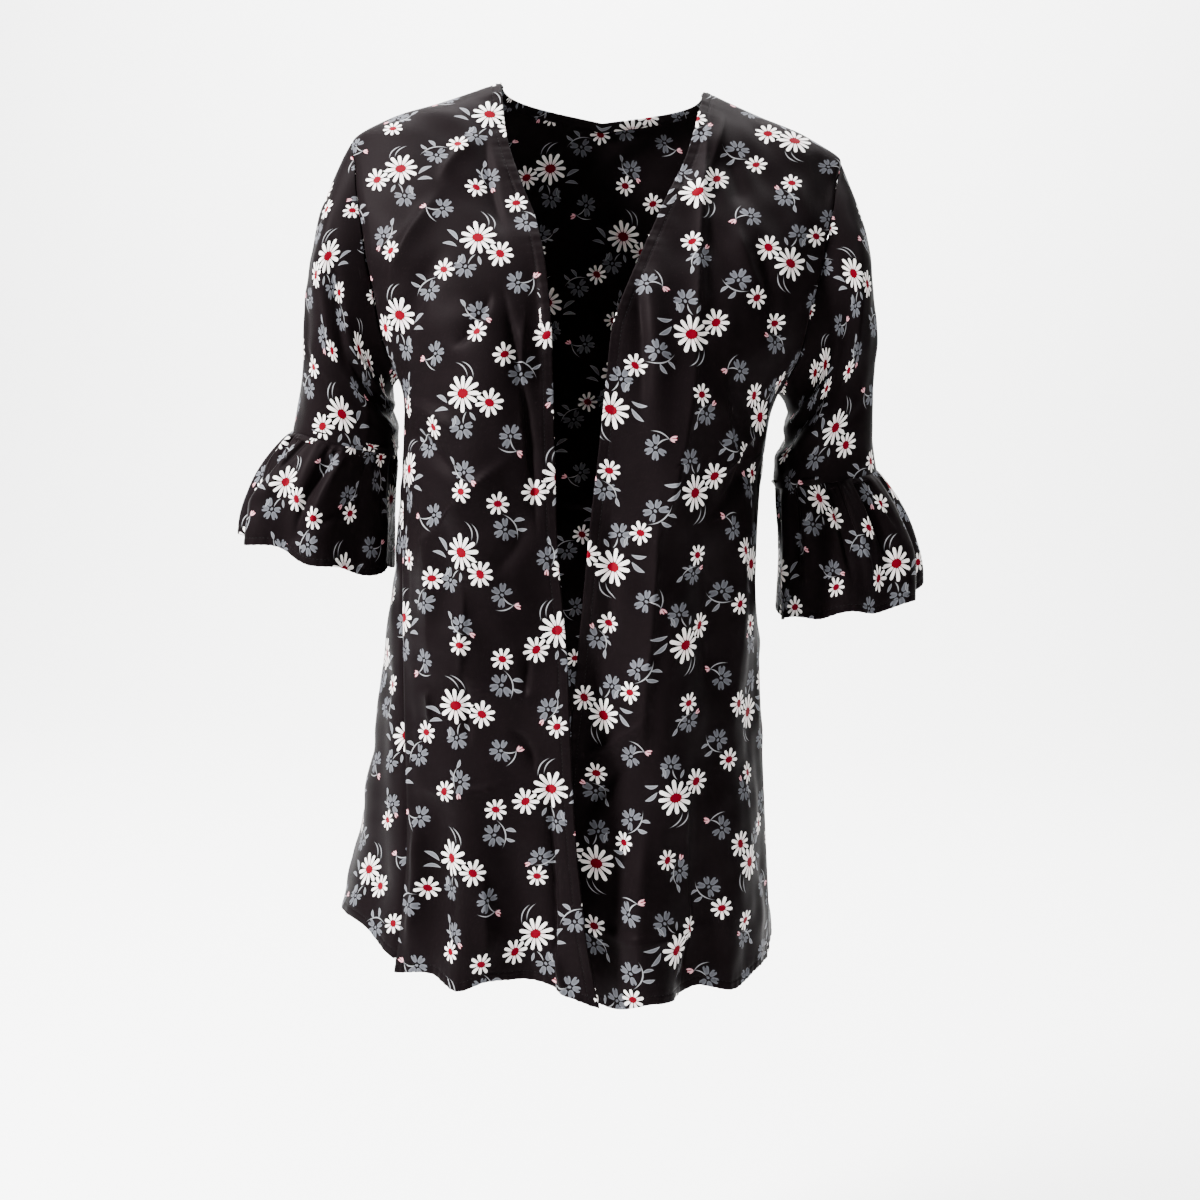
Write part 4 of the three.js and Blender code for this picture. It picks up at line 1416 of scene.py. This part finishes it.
def black_thread():
    material = bpy.data.materials.new("Black thread")
    material.use_nodes = True
    shader = material.node_tree.nodes["Principled BSDF"]
    shader.inputs["Base Color"].default_value = (0.004, 0.0036, 0.0038, 1)
    shader.inputs["Roughness"].default_value = 0.8
    shader.inputs["Specular IOR Level"].default_value = 0.1
    return material


def thread_material():
    return once("thread", black_thread)


# Floor, lights and camera, in metres
FLOOR_Z = -1.12
FLOOR_FRONT = -4.0
FLOOR_BACK = 2.6
BACKDROP_BEND = 1.0
BACKDROP_HIGH = 5.0
BACKDROP_HALF = 7.0
# Area lights: name, place, what it points at, size, power
LIGHTS = [
    ("key", (-1.6, -0.8, 0.98), (0, 0, -0.26), (0.5, 0.7), 290),
    ("fill", (1.5, -2.0, 0.6), (0, 0, -0.3), (0.9, 0.9), 9),
    ("back wash", (0, 1.0, 2.6), (0, 3.0, -0.4), (4.0, 1.2), 760),
    ("floor wash", (0, 0.6, 2.4), (0, 1.2, -1.1), (4.0, 1.0), 190),
]
SKY_COLOR = (0.95, 0.97, 1.0, 1)
SKY_POWER = 0.03
CAMERA_PLACE = (0.0156, -1.22, -0.2513)
CAMERA_TILT = math.radians(83)
CAMERA_ROLL = math.radians(2.5)
LENS = 45
SENSOR_WIDE = 36


def make_stage():
    """Pale floor that turns up into a backdrop: a profile along y and z, drawn out along x."""
    angles = np.linspace(0, np.pi / 2, 25)
    bend_y = FLOOR_BACK + BACKDROP_BEND * np.sin(angles)
    bend_z = BACKDROP_BEND * (1 - np.cos(angles))
    y = np.concatenate([[FLOOR_FRONT], bend_y, [FLOOR_BACK + BACKDROP_BEND]])
    z = np.concatenate([[0.0], bend_z, [BACKDROP_HIGH]]) + FLOOR_Z
    x = np.array([-BACKDROP_HALF, BACKDROP_HALF])
    points = np.stack([np.tile(x, len(y)), np.repeat(y, 2), np.repeat(z, 2)], -1)
    k = np.arange(len(y) - 1) * 2
    faces = np.stack([k, k + 1, k + 3, k + 2], -1)
    mesh = bpy.data.meshes.new("backdrop")
    mesh.from_pydata(points.tolist(), [], faces.tolist())
    floor = add_piece("backdrop", mesh)
    material = bpy.data.materials.new("Pale backdrop")
    material.use_nodes = True
    shader = material.node_tree.nodes["Principled BSDF"]
    shader.inputs["Base Color"].default_value = (0.93, 0.93, 0.925, 1)
    shader.inputs["Roughness"].default_value = 0.9
    floor.data.materials.append(material)


def area_light(name, place, target, size, power):
    light = bpy.data.lights.new(name, "AREA")
    light.shape = "RECTANGLE"
    light.size, light.size_y = size
    light.energy = power
    thing = bpy.data.objects.new(name, light)
    bpy.context.collection.objects.link(thing)
    thing.location = place
    way = Vector(target) - Vector(place)
    thing.rotation_mode = "QUATERNION"
    thing.rotation_quaternion = way.to_track_quat("-Z", "Y")


def make_lights():
    world = bpy.data.worlds.new("studio")
    bpy.context.scene.world = world
    world.use_nodes = True
    world.node_tree.nodes["Background"].inputs[0].default_value = SKY_COLOR
    world.node_tree.nodes["Background"].inputs[1].default_value = SKY_POWER
    for row in LIGHTS:
        area_light(*row)


def make_camera():
    camera = bpy.data.objects.new("camera", bpy.data.cameras.new("camera"))
    bpy.context.collection.objects.link(camera)
    camera.data.lens = LENS
    camera.data.sensor_width = SENSOR_WIDE
    camera.location = CAMERA_PLACE
    camera.rotation_mode = "QUATERNION"
    tilt = Quaternion((1, 0, 0), CAMERA_TILT)
    roll = Quaternion((0, 0, 1), CAMERA_ROLL)
    camera.rotation_quaternion = tilt @ roll
    bpy.context.scene.camera = camera


make_back()
for side in (RIGHT, LEFT):
    make_front(side)
    make_sleeve(side)
    make_ruffle(side)
make_stage()
make_lights()
make_camera()
